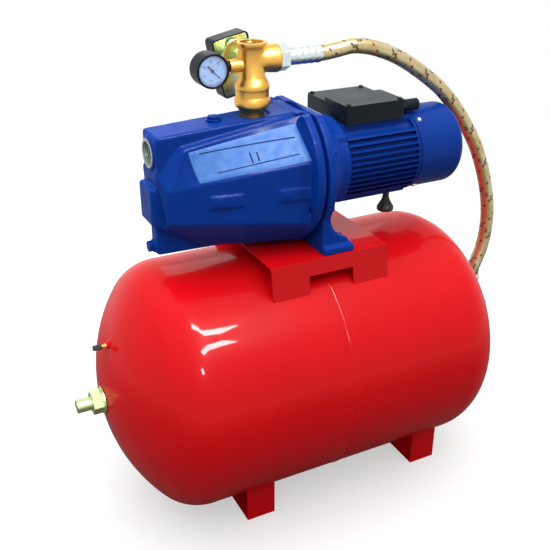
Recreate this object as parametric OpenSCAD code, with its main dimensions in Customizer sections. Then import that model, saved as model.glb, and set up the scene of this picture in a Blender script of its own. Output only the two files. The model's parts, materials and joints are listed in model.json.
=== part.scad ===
// Jet pump on a horizontal pressure tank. Millimetres, +Z up, +X towards the hose end.
// The origin is on the floor, in the middle of the four foot holes.

/* [Tank] */
// Outside diameter of the tank
tank_d = 360; // [320:5:440]
// Length of the straight middle of the tank
tank_straight = 391; // [360:1:500]
// Depth of each domed end
dome_depth = 110; // [95:1:130]
// Radius where a domed end rolls into the straight middle
knuckle_r = 70; // [55:1:80]
// Sheet thickness of the tank
tank_wall = 2; // [1.5:0.1:3]
// Gap between the tank and the floor
belly_gap = 17; // [8:1:30]
// Distance from the middle of the feet back to the seam
seam_setback = 28; // [10:1:40]

/* [Tank supports] */
// Distance between the two feet
foot_spacing = 289; // [240:1:310]
// Width of each foot along the tank
foot_w = 44; // [30:1:60]
// Span of each foot across the tank
foot_span = 226; // [200:1:260]
// Distance between the two holes in a foot
foot_hole_spacing = 180; // [140:1:190]
// Diameter of a foot hole
foot_hole_d = 10; // [7:0.5:12]
// Thickness of the bent strips and of the platform
strip_t = 3; // [2:0.5:5]
// Length of the platform
platform_l = 180; // [160:1:220]
// Width of the platform's flat top
platform_w = 188; // [184:1:210]
// Height of the platform's top above the tank
platform_rise = 16; // [12:1:30]
// Width of the notch in each platform leg
notch_w = 68; // [40:1:90]

/* [Pump] */
// Height of the shaft above the platform
shaft_rise = 102; // [100:1:125]
// Length of the cast pump body
body_l = 208; // [195:1:250]
// Half width of the pump body at its flange
body_half_w = 82; // [80:1:90]
// Radius of the round flanges
flange_r = 100; // [98:1:112]
// Thickness of the pump body's flange
body_flange_t = 15; // [12:1:20]
// Thickness of the motor bracket's flange
bracket_flange_t = 13; // [10:1:18]
// Radius of the bore that holds the diffuser
chamber_r = 68; // [66:0.5:72]
// Radius of the impeller
impeller_r = 60; // [50:0.5:60]
// Radius of a one inch pipe thread's bore
port_r = 15.1; // [14:0.1:17]
// Distance from the flange face to the discharge port
discharge_setback = 60; // [54:1:70]
// Distance from the flange face to the priming plug
priming_setback = 115; // [110:1:130]

/* [Motor] */
// Radius over the fins
motor_r = 59; // [57:0.5:68]
// Radius of the stator's seat
stator_r = 47; // [44:0.5:48]
// Length of the finned frame
frame_l = 118; // [110:1:150]
// Length of the fan cover
fan_cover_l = 77; // [70:1:95]
// Thickness of a fin
fin_t = 2.2; // [1.5:0.1:3]
// Distance from one fin to the next
fin_pitch = 8; // [7:0.5:10]
// Radius of the shaft in its bearings
shaft_r = 7.45; // [6.5:0.05:8.5]
// Length of the terminal box
box_l = 94; // [80:1:100]
// Width of the terminal box, which overhangs the motor's far side
box_w = 112; // [100:1:120]
// Height of the terminal box without its lid
box_h = 18; // [18:1:30]
// Height of the lid's raised part
lid_h = 8; // [6:0.5:12]
// Width of the lid's raised part
raised_w = 63; // [56:1:70]

/* [Fittings] */
// Outside radius of the check valve's two bulges
valve_r = 23.5; // [22:0.5:26]
// Outside radius of the five-way body
cross_r = 17; // [16:0.5:19]
// Height from the port's face to the fitting's rim
fitting_h = 94; // [92:1:110]
// Lift of the check valve's disc
valve_lift = 7; // [4:0.5:7]
// Radius of the gauge's case
gauge_r = 21.5; // [18:0.5:26]
// Depth of the gauge's case
gauge_depth = 25; // [20:1:32]
// Width of the pressure switch's cover
switch_w = 53; // [50:1:70]
// Length of the pressure switch's cover
switch_l = 80; // [76:1:110]
// Depth of the pressure switch's cover
switch_depth = 26; // [25:1:44]
// Lean of the switch, seen from the front
switch_lean = 12; // [0:1:20]

/* [Hose] */
// Outside diameter of the braided hose
hose_d = 21; // [18:0.5:23]
// Length of the upper crimped sleeve
upper_sleeve_l = 51; // [30:1:60]
// Length of the lower crimped sleeve
lower_sleeve_l = 25; // [20:1:30]

/* [Hidden] */
$fn = 64;
tank_red = [0.86, 0.10, 0.11];
pump_blue = [0.05, 0.22, 0.52];
brass_gold = [0.86, 0.60, 0.25];
zinc_grey = [0.75, 0.77, 0.76];
steel_grey = [0.55, 0.56, 0.58];
rubber_black = [0.08, 0.08, 0.08];
plastic_black = [0.11, 0.12, 0.12];

// Clearances: round faces that seat in each other, running shafts, parts that pass freely.
seat = 0.1;
running = 0.05;
free = 0.3;
cut = 1;

// Tank places.
tank_r = tank_d / 2;
tank_z = tank_r + belly_gap;
seam_x = -seam_setback;
half_straight = tank_straight / 2;
left_pole_x = seam_x - half_straight - dome_depth;
right_pole_x = seam_x + half_straight + dome_depth;
platform_z = tank_z + tank_r + platform_rise;
joggle_l = 12;

// Neck, flange and bladder at the hose end.
neck_bore_r = 45;
neck_collar_r = 50;
neck_flange_r = 70;
neck_flange_t = 8;
neck_face_x = right_pole_x - 2;
lip_t = 3;
lip_r = 56;
counter_t = 5;
hub_r = 24;
hub_l = 7;
flange_bolt_circle_r = 62;
flange_bolt_r = 4;
bladder_r = 150;
bladder_depth = 100;
bladder_knuckle = 60;
bladder_wall = 2.5;
bladder_left_x = left_pole_x + tank_wall + free;
bladder_right_x = right_pole_x - 12;
elbow_x = right_pole_x + 28.5;
elbow_r = 15;
elbow_top_z = tank_z + 16;
elbow_thread_r = 12;

// Tail stud and air valve at the other end.
stud_r = 9.5;
stud_flange_r = 14;
stud_reach = 37.5;
tail_nut_af = 30;
tail_washer_r = 20;
tail_washer_t = 2.5;
tail_nut_l = 14;
air_valve_rise = 85;
air_valve_x = left_pole_x + 15;
air_stem_r = 4.6;
air_cap_r = 7;
air_cap_l = 13;

// Pump and motor places. Casting corners are given from the flange face and the shaft.
shaft_z = platform_z + shaft_rise;
face_x = seam_x - 10;
front = -body_l;
port_rise = 77;
port_face_z = shaft_z + port_rise;
discharge_x = face_x - discharge_setback;
priming_x = face_x - priming_setback;
suction_rise = 46;
suction_front = front + 2;
drain_face = front - 1;
drain_z = -80;
nozzle_seat = front + 8;
edge_r = 6;
divider = front + 46;
diffuser_front = -44;
venturi_end = diffuser_front + 2.5;
flange_top = 82.5;
flange_bottom = -94;
spigot_l = 6;
body_bolt_circle_r = 88;
body_bolt_angles = [25, 155, 205, 335, 250, 290];
frame_x = face_x + 58;
rear_x = frame_x + frame_l;
bearing_w = 11;
bearing_r = 17.5;
cover_wall = 1.4;
cover_roll = 14;
rim_l = 12;
front_bearing_x = face_x + 38;
rear_bearing_x = rear_x - 8;
mid_shaft_r = shaft_r + 1.55;
tie_circle_r = stator_r + 4;
tie_r = 2.5;
box_x = frame_x + 5;
box_z = shaft_z + motor_r - 4;
box_near_y = -35;
box_y = box_near_y + box_w / 2;
lid_edge = 3;
pad_half_w = 31;
gland_y = -18;
gland_z = box_z + 12;
gland_thread_r = 5;
gland_l = 31;
frame_r = motor_r + 3.4;
foot_l = 46;
foot_t = 10;
foot_half_w = platform_w / 2 - 2;
plate_half_w = 85;
gusset_t = 9;
foot_bolt_x = face_x + 34;
foot_bolt_y = 66;
foot_bolt_r = 5;
rubber_x = face_x + 158.5;
rubber_top_z = shaft_z - motor_r - 5;
rubber_lift = 7;

// Fitting places. Heights of the check valve's parts are given from the port's face.
valve_seat_h = 18;
valve_joint_h = 26;
valve_disc_t = 3.5;
valve_disc_r = 14.5;
valve_stem_r = 2.5;
valve_room_r = valve_r - 5.5;
valve_waist = 1.7;
spring_shut_l = 11.5;
guide_h = valve_seat_h + valve_disc_t + valve_lift + spring_shut_l;
branch_z = port_face_z + 71;
branch_l = 35;
branch_end_x = discharge_x + branch_l;
small_port_z = port_face_z + 66;
gauge_x = discharge_x - 61;
gauge_back_y = 6;
gauge_front_y = gauge_back_y - gauge_depth;
switch_y = 56;
switch_wall = 2;
switch_corner_r = 6;
switch_port_z = port_face_z + 68;
switch_top = 25;
lever_pivot_z = 14;
lever_y = 69;
lever_l = 28;
switch_spring_z = -6;

// Hose route in the plane of the tank's axis, from the upper sleeve to the lower one.
nut_l = 13;
sleeve_r = 12;
hose_points = [[1, 643], [8, 643], [26, 645], [50, 648], [74, 645], [98, 638], [124, 627],
    [149, 613], [176, 595], [204, 574], [226, 552], [247, 528], [266, 502], [283, 475],
    [297, 446], [309, 415], [318, 384], [323, 352], [323, 322], [319, 297], [313, 279],
    [308, 266], [306, 257], [306, 251]];

// Shapes that repeat.

// Cylinder along +X.
module rod_x(x, l, r, y = 0, z = 0) {
    translate([x, y, z]) rotate([0, 90, 0]) cylinder(h = l, r = r);
}

// Cylinder along +Y.
module rod_y(y, l, r, x = 0, z = 0) {
    translate([x, y, z]) rotate([-90, 0, 0]) cylinder(h = l, r = r);
}

// Ring along +X.
module ring_x(x, l, outer, inner, z = 0) {
    difference() {
        rod_x(x, l, outer, z = z);
        rod_x(x - cut, l + 2 * cut, inner, z = z);
    }
}

// Hexagon prism along +Z, by its width across flats.
module hex(af, l) {
    cylinder(h = l, r = af / sqrt(3), $fn = 6);
}

// Hexagon bolt pointing along -Z, with the seat of its head at the origin.
module bolt(r, l, head_af, head_h) {
    hex(head_af, head_h);
    translate([0, 0, -l]) cylinder(h = l, r = r, $fn = 32);
}

// Outline in Y and Z, drawn from the shaft, made l long towards +X.
module along_x(x, l, z) {
    translate([x, 0, z]) rotate([90, 0, 90]) linear_extrude(l) children();
}

// Outline turned round the X axis: its x is the radius and its y runs along +X.
module turned_x(x, z) {
    translate([x, 0, z]) rotate([0, 90, 0]) rotate_extrude($fn = 128) children();
}

// Block in the XY plane with round corners of four steps each.
function round_corner(x, y, r, start) =
    [for (i = [0:4]) [x + r * cos(start + i * 22.5), y + r * sin(start + i * 22.5)]];
module round_block(l, w, h, r) {
    linear_extrude(h) polygon(concat(
        round_corner(l / 2 - r, w / 2 - r, r, 0), round_corner(r - l / 2, w / 2 - r, r, 90),
        round_corner(r - l / 2, r - w / 2, r, 180), round_corner(l / 2 - r, r - w / 2, r, 270)));
}

// Casting with round edges through corners mirrored across the XZ plane.
module casting(corners, r) {
    hull() for (p = corners, side = [-1, 1])
        translate([p.x, side * p.y, p.z]) sphere(r = r, $fn = 16);
}

// Hollow with sharp edges through corners mirrored across the XZ plane.
module hollow(corners) {
    hull() for (p = corners, side = [-1, 1])
        translate([p.x, side * p.y, p.z]) cube(0.1, center = true);
}

// Tube of sides round a list of centres in the XZ plane.
module swept_tube(points, r, sides) {
    last = len(points) - 1;
    function ring(i) =
        let (a = points[max(i - 1, 0)], b = points[min(i + 1, last)], d = (b - a) / norm(b - a))
        [for (j = [0:sides - 1]) let (t = j * 360 / sides)
            [points[i].x - d.y * r * cos(t), r * sin(t), points[i].y + d.x * r * cos(t)]];
    rings = [for (i = [0:last]) each ring(i)];
    walls = [for (i = [0:last - 1], j = [0:sides - 1]) let (k = (j + 1) % sides)
        [i * sides + j, i * sides + k, (i + 1) * sides + k, (i + 1) * sides + j]];
    first_cap = [for (j = [sides - 1:-1:0]) j];
    last_cap = [for (j = [0:sides - 1]) last * sides + j];
    polyhedron(points = rings, faces = concat(walls, [first_cap, last_cap]), convexity = 6);
}

// Helical spring along +Z with round wire.
module coil_spring(r, wire_r, turns, l) {
    steps = 12;
    sides = 6;
    count = turns * steps;
    function ring(i) = let (a = i * 360 / steps, z = wire_r + (l - 2 * wire_r) * i / count)
        [for (j = [0:sides - 1]) let (t = j * 360 / sides, q = r + wire_r * cos(t))
            [q * cos(a), q * sin(a), z + wire_r * sin(t)]];
    rings = [for (i = [0:count]) each ring(i)];
    walls = [for (i = [0:count - 1], j = [0:sides - 1]) let (k = (j + 1) % sides)
        [i * sides + j, (i + 1) * sides + j, (i + 1) * sides + k, i * sides + k]];
    first_cap = [for (j = [0:sides - 1]) j];
    last_cap = [for (j = [sides - 1:-1:0]) count * sides + j];
    polyhedron(points = rings, faces = concat(walls, [first_cap, last_cap]), convexity = 10);
}

// Domed half of a vessel.

// Distance from the knuckle's centres back to the centre of the crown's sphere.
function crown_rise(r, depth, knuckle) =
    (pow(r - knuckle, 2) - pow(depth - knuckle, 2)) / (2 * (depth - knuckle));

// Outline with y = 0 where the straight part ends and the pole on the y axis.
module domed_half(r, depth, knuckle, straight) {
    rise = crown_rise(r, depth, knuckle);
    lean = atan2(r - knuckle, rise);
    far = 4 * (r + rise);
    low = max(rise - straight / 2, 1);
    overlap = 0.02;
    translate([0, -straight]) square([r, straight]);
    translate([r - knuckle, 0]) intersection() {
        circle(r = knuckle, $fn = 128);
        polygon([[-overlap, 0], [far, 0], [far, far],
            [far * sin(lean) - overlap, far * cos(lean)]]);
    }
    translate([0, -rise]) intersection() {
        circle(r = depth + rise, $fn = 256);
        polygon([[0, low], [tan(lean) * low, low], [far * sin(lean), far * cos(lean)], [0, far]]);
    }
}

// Wall of a domed half, open at its straight end.
module domed_wall(r, depth, knuckle, straight, wall) {
    difference() {
        domed_half(r, depth, knuckle, straight);
        domed_half(r - wall, depth - wall, knuckle - wall, straight + cut);
    }
}

// Solid that fills the tank's outside, with a seat's clearance.
module tank_room() {
    for (side = [0, 1]) translate([seam_x, 0, tank_z]) mirror([side, 0, 0])
        rotate([0, 90, 0]) rotate_extrude($fn = 128) translate([0, half_straight])
            domed_half(tank_r + seat, dome_depth + seat, knuckle_r + seat, half_straight);
}

// Tank and its supports.

module tank_shell(side) {
    translate([seam_x, 0, tank_z]) mirror([side, 0, 0]) rotate([0, 90, 0])
        rotate_extrude($fn = 128) translate([0, half_straight])
            domed_wall(tank_r, dome_depth, knuckle_r, half_straight, tank_wall);
}

module tank_shell_left() {
    color(tank_red) {
        difference() {
            tank_shell(1);
            rod_x(left_pole_x - cut, 20, stud_r + seat, z = tank_z);
            rod_x(air_valve_x - 20, 40, air_stem_r + seat, z = tank_z + air_valve_rise);
        }
        lip_r_outer = tank_r - tank_wall - seat;
        ring_x(seam_x - 8, 8, tank_r - tank_wall / 2, lip_r_outer - tank_wall, tank_z);
        ring_x(seam_x - 8, 8 + joggle_l, lip_r_outer, lip_r_outer - tank_wall, tank_z);
    }
}

module tank_shell_right() {
    color(tank_red) difference() {
        tank_shell(0);
        rod_x(right_pole_x - 40, 50, neck_collar_r + seat, z = tank_z);
    }
}

// Low bead that closes the joint between the two shells.
module seam_weld() {
    color(tank_red) turned_x(seam_x, tank_z)
        polygon([[tank_r + seat, -3], [tank_r + 0.7, -1.5], [tank_r + 0.7, 1.5],
            [tank_r + seat, 3]]);
}

// Bag that hangs from the neck and is held by the tail stud.
module bladder() {
    middle = (bladder_left_x + bladder_right_x) / 2;
    straight = (bladder_right_x - bladder_left_x) / 2 - bladder_depth;
    neck_r = neck_bore_r - seat;
    color(rubber_black) difference() {
        union() {
            turned_x(middle, tank_z) for (side = [0, 1]) mirror([0, side])
                translate([0, straight])
                    domed_half(bladder_r, bladder_depth, bladder_knuckle, straight);
            rod_x(bladder_right_x - 20, neck_face_x - bladder_right_x + 20, neck_r, z = tank_z);
            rod_x(neck_face_x, lip_t, lip_r, z = tank_z);
        }
        turned_x(middle, tank_z) for (side = [0, 1]) mirror([0, side])
            translate([0, straight])
                domed_half(bladder_r - bladder_wall, bladder_depth - bladder_wall,
                    bladder_knuckle - bladder_wall, straight);
        rod_x(bladder_right_x - 20, 40, neck_r - bladder_wall, z = tank_z);
        rod_x(left_pole_x, 20, stud_r + seat, z = tank_z);
    }
}

// Strip bent up at both ends and trimmed to the tank.
module tank_foot(x) {
    half = foot_span / 2;
    leg_h = tank_z;
    color(tank_red) difference() {
        translate([x - foot_w / 2, 0, 0]) difference() {
            translate([0, -half, 0]) cube([foot_w, foot_span, leg_h]);
            translate([-cut, strip_t - half, strip_t])
                cube([foot_w + 2 * cut, foot_span - 2 * strip_t, leg_h]);
        }
        rod_x(x - foot_w, 2 * foot_w, tank_r + seat, z = tank_z);
        for (side = [-1, 1])
            translate([x, side * foot_hole_spacing / 2, -cut])
                cylinder(h = strip_t + 2 * cut, d = foot_hole_d);
    }
}

module foot_left() {
    tank_foot(-foot_spacing / 2);
}

module foot_right() {
    tank_foot(foot_spacing / 2);
}

// Bent plate that saddles the tank, notched in the middle of each leg.
module pump_platform() {
    half_w = platform_w / 2;
    splay = 8;
    drop = 52;
    notch_top = platform_z - 22;
    color(tank_red) difference() {
        along_x(seam_x - platform_l / 2, platform_l, platform_z) polygon([
            [-half_w, 0], [half_w, 0], [half_w + splay, -drop], [half_w + splay - strip_t, -drop],
            [half_w - strip_t, -strip_t], [strip_t - half_w, -strip_t],
            [strip_t - half_w - splay, -drop], [-half_w - splay, -drop]]);
        rod_x(seam_x - platform_l, 2 * platform_l, tank_r + seat, z = tank_z);
        translate([seam_x - notch_w / 2, -tank_r, notch_top - 2 * drop])
            cube([notch_w, tank_d, 2 * drop]);
        for (side = [-1, 1])
            translate([foot_bolt_x, side * foot_bolt_y, platform_z - strip_t - cut])
                cylinder(h = strip_t + 2 * cut, r = foot_bolt_r + seat);
    }
}

// Flange end of the tank.

module at_flange_bolts() {
    for (a = [30:60:330])
        translate([0, flange_bolt_circle_r * cos(a), tank_z + flange_bolt_circle_r * sin(a)])
            rotate([0, 90, 0]) children();
}

// Welded ring: a flat flange outside and a collar through the shell.
module neck_ring() {
    color(tank_red) difference() {
        union() {
            difference() {
                rod_x(neck_face_x - neck_flange_t, neck_flange_t, neck_flange_r, z = tank_z);
                tank_room();
            }
            rod_x(neck_face_x - 14, 14, neck_collar_r, z = tank_z);
        }
        rod_x(neck_face_x - 20, 30, neck_bore_r, z = tank_z);
        translate([neck_face_x - 20, 0, 0]) at_flange_bolts()
            cylinder(h = 30, r = flange_bolt_r + seat);
    }
}

module counter_flange() {
    plate_x = neck_face_x + lip_t;
    color(zinc_grey) difference() {
        union() {
            rod_x(plate_x, counter_t, neck_flange_r, z = tank_z);
            rod_x(plate_x, counter_t + hub_l, hub_r, z = tank_z);
        }
        rod_x(plate_x - cut, 30, port_r, z = tank_z);
        translate([plate_x - cut, 0, 0]) at_flange_bolts()
            cylinder(h = 10, r = flange_bolt_r + seat);
    }
}

// Six bolts threaded into the welded ring, their heads outside.
module flange_bolts() {
    color(zinc_grey) translate([neck_face_x + lip_t + counter_t, 0, 0]) at_flange_bolts()
        bolt(flange_bolt_r, counter_t + lip_t + 4.5, 13, 5.3);
}

// Quarter bend from the flange's thread up to the hose.
module tank_elbow() {
    hub_end = neck_face_x + lip_t + counter_t + hub_l;
    color(brass_gold) difference() {
        union() {
            rod_x(hub_end - 11, 12, port_r - seat, z = tank_z);
            rod_x(hub_end, elbow_x - hub_end, elbow_r - 1, z = tank_z);
            translate([elbow_x, 0, tank_z - 17])
                cylinder(h = elbow_top_z - tank_z + 17, r = elbow_r);
            translate([elbow_x, 0, tank_z - 20]) cylinder(h = 3.1, r1 = elbow_r - 4, r2 = elbow_r);
            translate([elbow_x, 0, elbow_top_z]) cylinder(h = 8, r = elbow_thread_r);
        }
        rod_x(hub_end - 12, elbow_x - hub_end + 12, 9.5, z = tank_z);
        translate([elbow_x, 0, tank_z - 9]) cylinder(h = 60, r = 9);
    }
}

// Tail end of the tank.

// Stud with a flange inside the bladder and its thread out through the shell.
module tail_stud() {
    inner_x = bladder_left_x + bladder_wall + 0.8;
    color([0.80, 0.74, 0.38]) {
        difference() {
            rod_x(left_pole_x - stud_reach, inner_x - left_pole_x + stud_reach + 1, stud_r,
                z = tank_z);
            rod_x(left_pole_x - stud_reach - cut, 12, 5, z = tank_z);
        }
        rod_x(inner_x, 3, stud_flange_r, z = tank_z);
    }
}

module tail_nut() {
    washer_x = left_pole_x - seat - tail_washer_t;
    color([0.80, 0.74, 0.38]) difference() {
        union() {
            rod_x(washer_x, tail_washer_t, tail_washer_r, z = tank_z);
            translate([washer_x - tail_nut_l, 0, tank_z]) rotate([0, 90, 0]) rotate([0, 0, 30])
                hex(tail_nut_af, tail_nut_l + 0.1);
        }
        rod_x(washer_x - tail_nut_l - cut, 30, stud_r + seat, z = tank_z);
    }
}

// Tyre valve on a small welded collar.
module air_valve() {
    valve_z = tank_z + air_valve_rise;
    color(brass_gold) difference() {
        union() {
            rod_x(air_valve_x - 17, 23, air_stem_r, z = valve_z);
            difference() {
                rod_x(air_valve_x - 7, 17, 8, z = valve_z);
                tank_room();
            }
        }
        rod_x(air_valve_x - 18, 20, 2.6, z = valve_z);
    }
}

module air_valve_cap() {
    valve_z = tank_z + air_valve_rise;
    cap_x = air_valve_x - 21;
    color(rubber_black) difference() {
        rod_x(cap_x, air_cap_l, air_cap_r, z = valve_z);
        rod_x(cap_x + 3, air_cap_l, air_stem_r + free, z = valve_z);
        for (a = [0:30:330]) rotate_about_x(a, valve_z)
            rod_x(cap_x - cut, air_cap_l - 2, 0.9, z = valve_z + air_cap_r + 0.3);
    }
}

module rotate_about_x(a, z) {
    translate([0, 0, z]) rotate([a, 0, 0]) translate([0, 0, -z]) children();
}

// Pump casting and its wet end.

// Flange outline round the shaft, flat at the top and the bottom.
module flange_outline(r, bottom) {
    intersection() {
        circle(r = r, $fn = 128);
        translate([-r, bottom]) square([2 * r, flange_top - bottom]);
    }
}

module at_body_bolts(x) {
    for (a = body_bolt_angles)
        translate([x, body_bolt_circle_r * cos(a), shaft_z + body_bolt_circle_r * sin(a)])
            rotate([0, 90, 0]) children();
}

module pump_body_outside() {
    // Hull that widens from the nose to the flange, with a ridge along its top.
    casting([[front + 15.5, 38, 5], [front + 15.5, 38, -36], [front + 8, 22, 22],
        [front + 39, 30, 51], [front + 16, 15, -53], [front + 65, 16, -80],
        [-8, body_half_w - 8, 25], [-8, 30, 74], [-8, body_half_w - 8, -54], [-8, 42, -88]],
        edge_r);
    // Column of the suction port, block of the nozzle and keel with the drain.
    casting([[front + 9, 23, 15], [front + 9, 23, 68], [-6, 25, 30], [-6, 25, 78]], 4);
    casting([[front - 1.3, 20, -42], [front - 1.3, 20, 2], [front + 12, 20, -48],
        [front + 12, 20, 2]], 4);
    casting([[front + 6, 9, -88], [front + 6, 9, -36], [front + 90, 14, -88],
        [front + 90, 14, -60]], 3);
    rod_x(suction_front, 12, 21, z = suction_rise);
    rod_x(drain_face, 12, 9, z = drain_z);
    // Two raised pads and two small bosses on each side.
    for (pad = [[-145, 56.0, -103, 64.0], [-56, 72.9, -8, 82.0]])
        translate([0, 0, -21]) linear_extrude(height = 16) polygon([[pad[0], -pad[1]],
            [pad[2], -pad[3]], [pad[2], pad[3]], [pad[0], pad[1]]]);
    for (boss = [[-134, 59], [-44, 76]])
        rod_y(-boss.y, 2 * boss.y, 4, x = boss.x, z = -13);
    // Ports in the top and the flange.
    translate([-discharge_setback, 0, 55]) cylinder(h = port_rise - 55 + cut, r = 22);
    translate([-priming_setback, 0, 60]) cylinder(h = 17, r = 12);
    along_x(-body_flange_t, body_flange_t - 3, 0) flange_outline(flange_r, flange_bottom);
    along_x(-body_flange_t, body_flange_t, 0)
        flange_outline(flange_r - 4.5, flange_bottom + 1);
}

module pump_body_inside() {
    // Discharge side, pump chamber and the duct under the ridge.
    hollow([[divider + 6, 43, 14], [divider + 6, 24, 42], [divider + 6, 43, -38],
        [divider + 6, 14, -62], [-45, 66, 20], [-45, 28, 60], [-45, 66, -46], [-45, 36, -76]]);
    rod_x(-46, 46 + cut, chamber_r);
    translate([divider + 10, -19, 40]) cube([-divider - 40, 38, 30]);
    // Suction side, with the port and the duct down to the nozzle.
    hollow([[front + 17, 36, 2], [front + 17, 20, 18], [front + 17, 36, -32],
        [front + 17, 12, -44], [divider, 42, 12], [divider, 22, 42], [divider, 42, -36],
        [divider, 14, -58]]);
    rod_x(suction_front - cut, 26, port_r, z = suction_rise);
    translate([suction_front + 20, -18, 8]) cube([divider - suction_front - 20, 36, 54]);
    // Ports in the top, with a machined face round the larger one.
    translate([-discharge_setback, 0, port_rise]) cylinder(h = 20, r = 22.5);
    translate([-discharge_setback, 0, 55]) cylinder(h = 40, r = port_r);
    translate([-priming_setback, 0, 55]) cylinder(h = 40, r = 8.1);
    // Nozzle seat, venturi seat and drain.
    rod_x(nozzle_seat, 10, 12 + seat);
    rod_x(divider - cut, 8, 14 + seat);
    rod_x(drain_face - cut, 24, 6, z = drain_z);
    translate([front + 18, 0, drain_z]) cylinder(h = 40, r = 5);
    // Bolt holes in the flange.
    translate([0, 0, -shaft_z]) at_body_bolts(-body_flange_t - cut)
        cylinder(h = 30, r = 4 + seat);
}

module pump_body() {
    color(pump_blue) translate([face_x, 0, shaft_z]) difference() {
        pump_body_outside();
        pump_body_inside();
    }
}

// Nozzle seated in the front wall, pointing at the venturi.
module ejector_nozzle() {
    color(brass_gold) difference() {
        turned_x(face_x + nozzle_seat, shaft_z)
            polygon([[0, 0], [12, 0], [12, 10], [10, 12], [6, 29], [0, 29]]);
        turned_x(face_x + nozzle_seat, shaft_z)
            polygon([[0, -1], [8, -1], [8, 8], [3.5, 30], [0, 30]]);
    }
}

module venturi_tube() {
    start = divider - 10;
    color([0.16, 0.17, 0.18]) turned_x(face_x, shaft_z) polygon([[11, start], [14, start],
        [14, -70], [18, -60], [18, venturi_end], [15.5, venturi_end], [6, start + 24],
        [6, start + 14]]);
}

// Bowl with guide slots round the impeller and an eye in its front plate.
module diffuser() {
    color([0.18, 0.19, 0.20]) difference() {
        union() {
            ring_x(face_x + diffuser_front, -diffuser_front - 8, chamber_r - seat,
                impeller_r + 2, shaft_z);
            ring_x(face_x + diffuser_front, 4, chamber_r - 4, 18 + seat, shaft_z);
            ring_x(face_x + diffuser_front + 3, 8, 26, 22.5, shaft_z);
        }
        for (a = [0:40:320]) rotate_about_x(a, shaft_z)
            translate([face_x - 40, -impeller_r - 12, shaft_z + impeller_r - 4])
                cube([9, impeller_r, 7]);
        for (a = [20:60:320]) rotate_about_x(a, shaft_z)
            rod_x(face_x - 50, 20, 7, z = shaft_z + 50);
    }
}

// Closed impeller: two discs, six curved blades between them and an eye.
module impeller() {
    color([0.80, 0.66, 0.38]) difference() {
        union() {
            rod_x(face_x - 14, 3, impeller_r, z = shaft_z);
            rod_x(face_x - 34, 25, 12, z = shaft_z);
            ring_x(face_x - 28, 3, impeller_r, 20, shaft_z);
            ring_x(face_x + diffuser_front + 5, 11.5, 22, 20, shaft_z);
            intersection() {
                ring_x(face_x - 26, 13, impeller_r, 21, shaft_z);
                for (a = [0:60:300]) rotate_about_x(a, shaft_z)
                    ring_x(face_x - 26, 13, 36, 33.5, shaft_z + 30);
            }
        }
        rod_x(face_x - 50, 60, 6 + running, z = shaft_z);
    }
}

module body_oring() {
    color(rubber_black) turned_x(face_x - 3.5, shaft_z)
        translate([chamber_r - seat - 1.4, 0]) circle(r = 1.4, $fn = 24);
}

module priming_plug() {
    head_af = 15;
    color(pump_blue) translate([priming_x, 0, port_face_z]) {
        hex(head_af, 6);
        cylinder(h = 2, r = 10.5);
        translate([0, 0, -14]) cylinder(h = 15, r = 8);
    }
}

module drain_plug() {
    color(pump_blue) translate([face_x + drain_face, 0, shaft_z + drain_z]) rotate([0, -90, 0]) {
        hex(14, 5);
        translate([0, 0, -12]) cylinder(h = 13, r = 6 - seat);
    }
}

module body_bolts() {
    color(zinc_grey) at_body_bolts(face_x + bracket_flange_t)
        bolt(4, bracket_flange_t + 12, 13, 5.3);
}

// Cast bracket that carries the pump body, the motor and the foot.

module bracket_foot() {
    toe_r = 34;
    translate([face_x + 2, -foot_half_w, platform_z]) cube([foot_l, 2 * foot_half_w, foot_t]);
    for (side = [-1, 1])
        translate([face_x, side * (plate_half_w - gusset_t / 2) + gusset_t / 2, shaft_z])
            rotate([90, 0, 0]) linear_extrude(gusset_t) difference() {
                polygon([[2, -shaft_rise], [2 + foot_l, -shaft_rise], [2 + foot_l, -95],
                    [38, -80], [14, -45], [2, -45]]);
                translate([48, -50]) circle(r = toe_r);
            }
}

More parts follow.
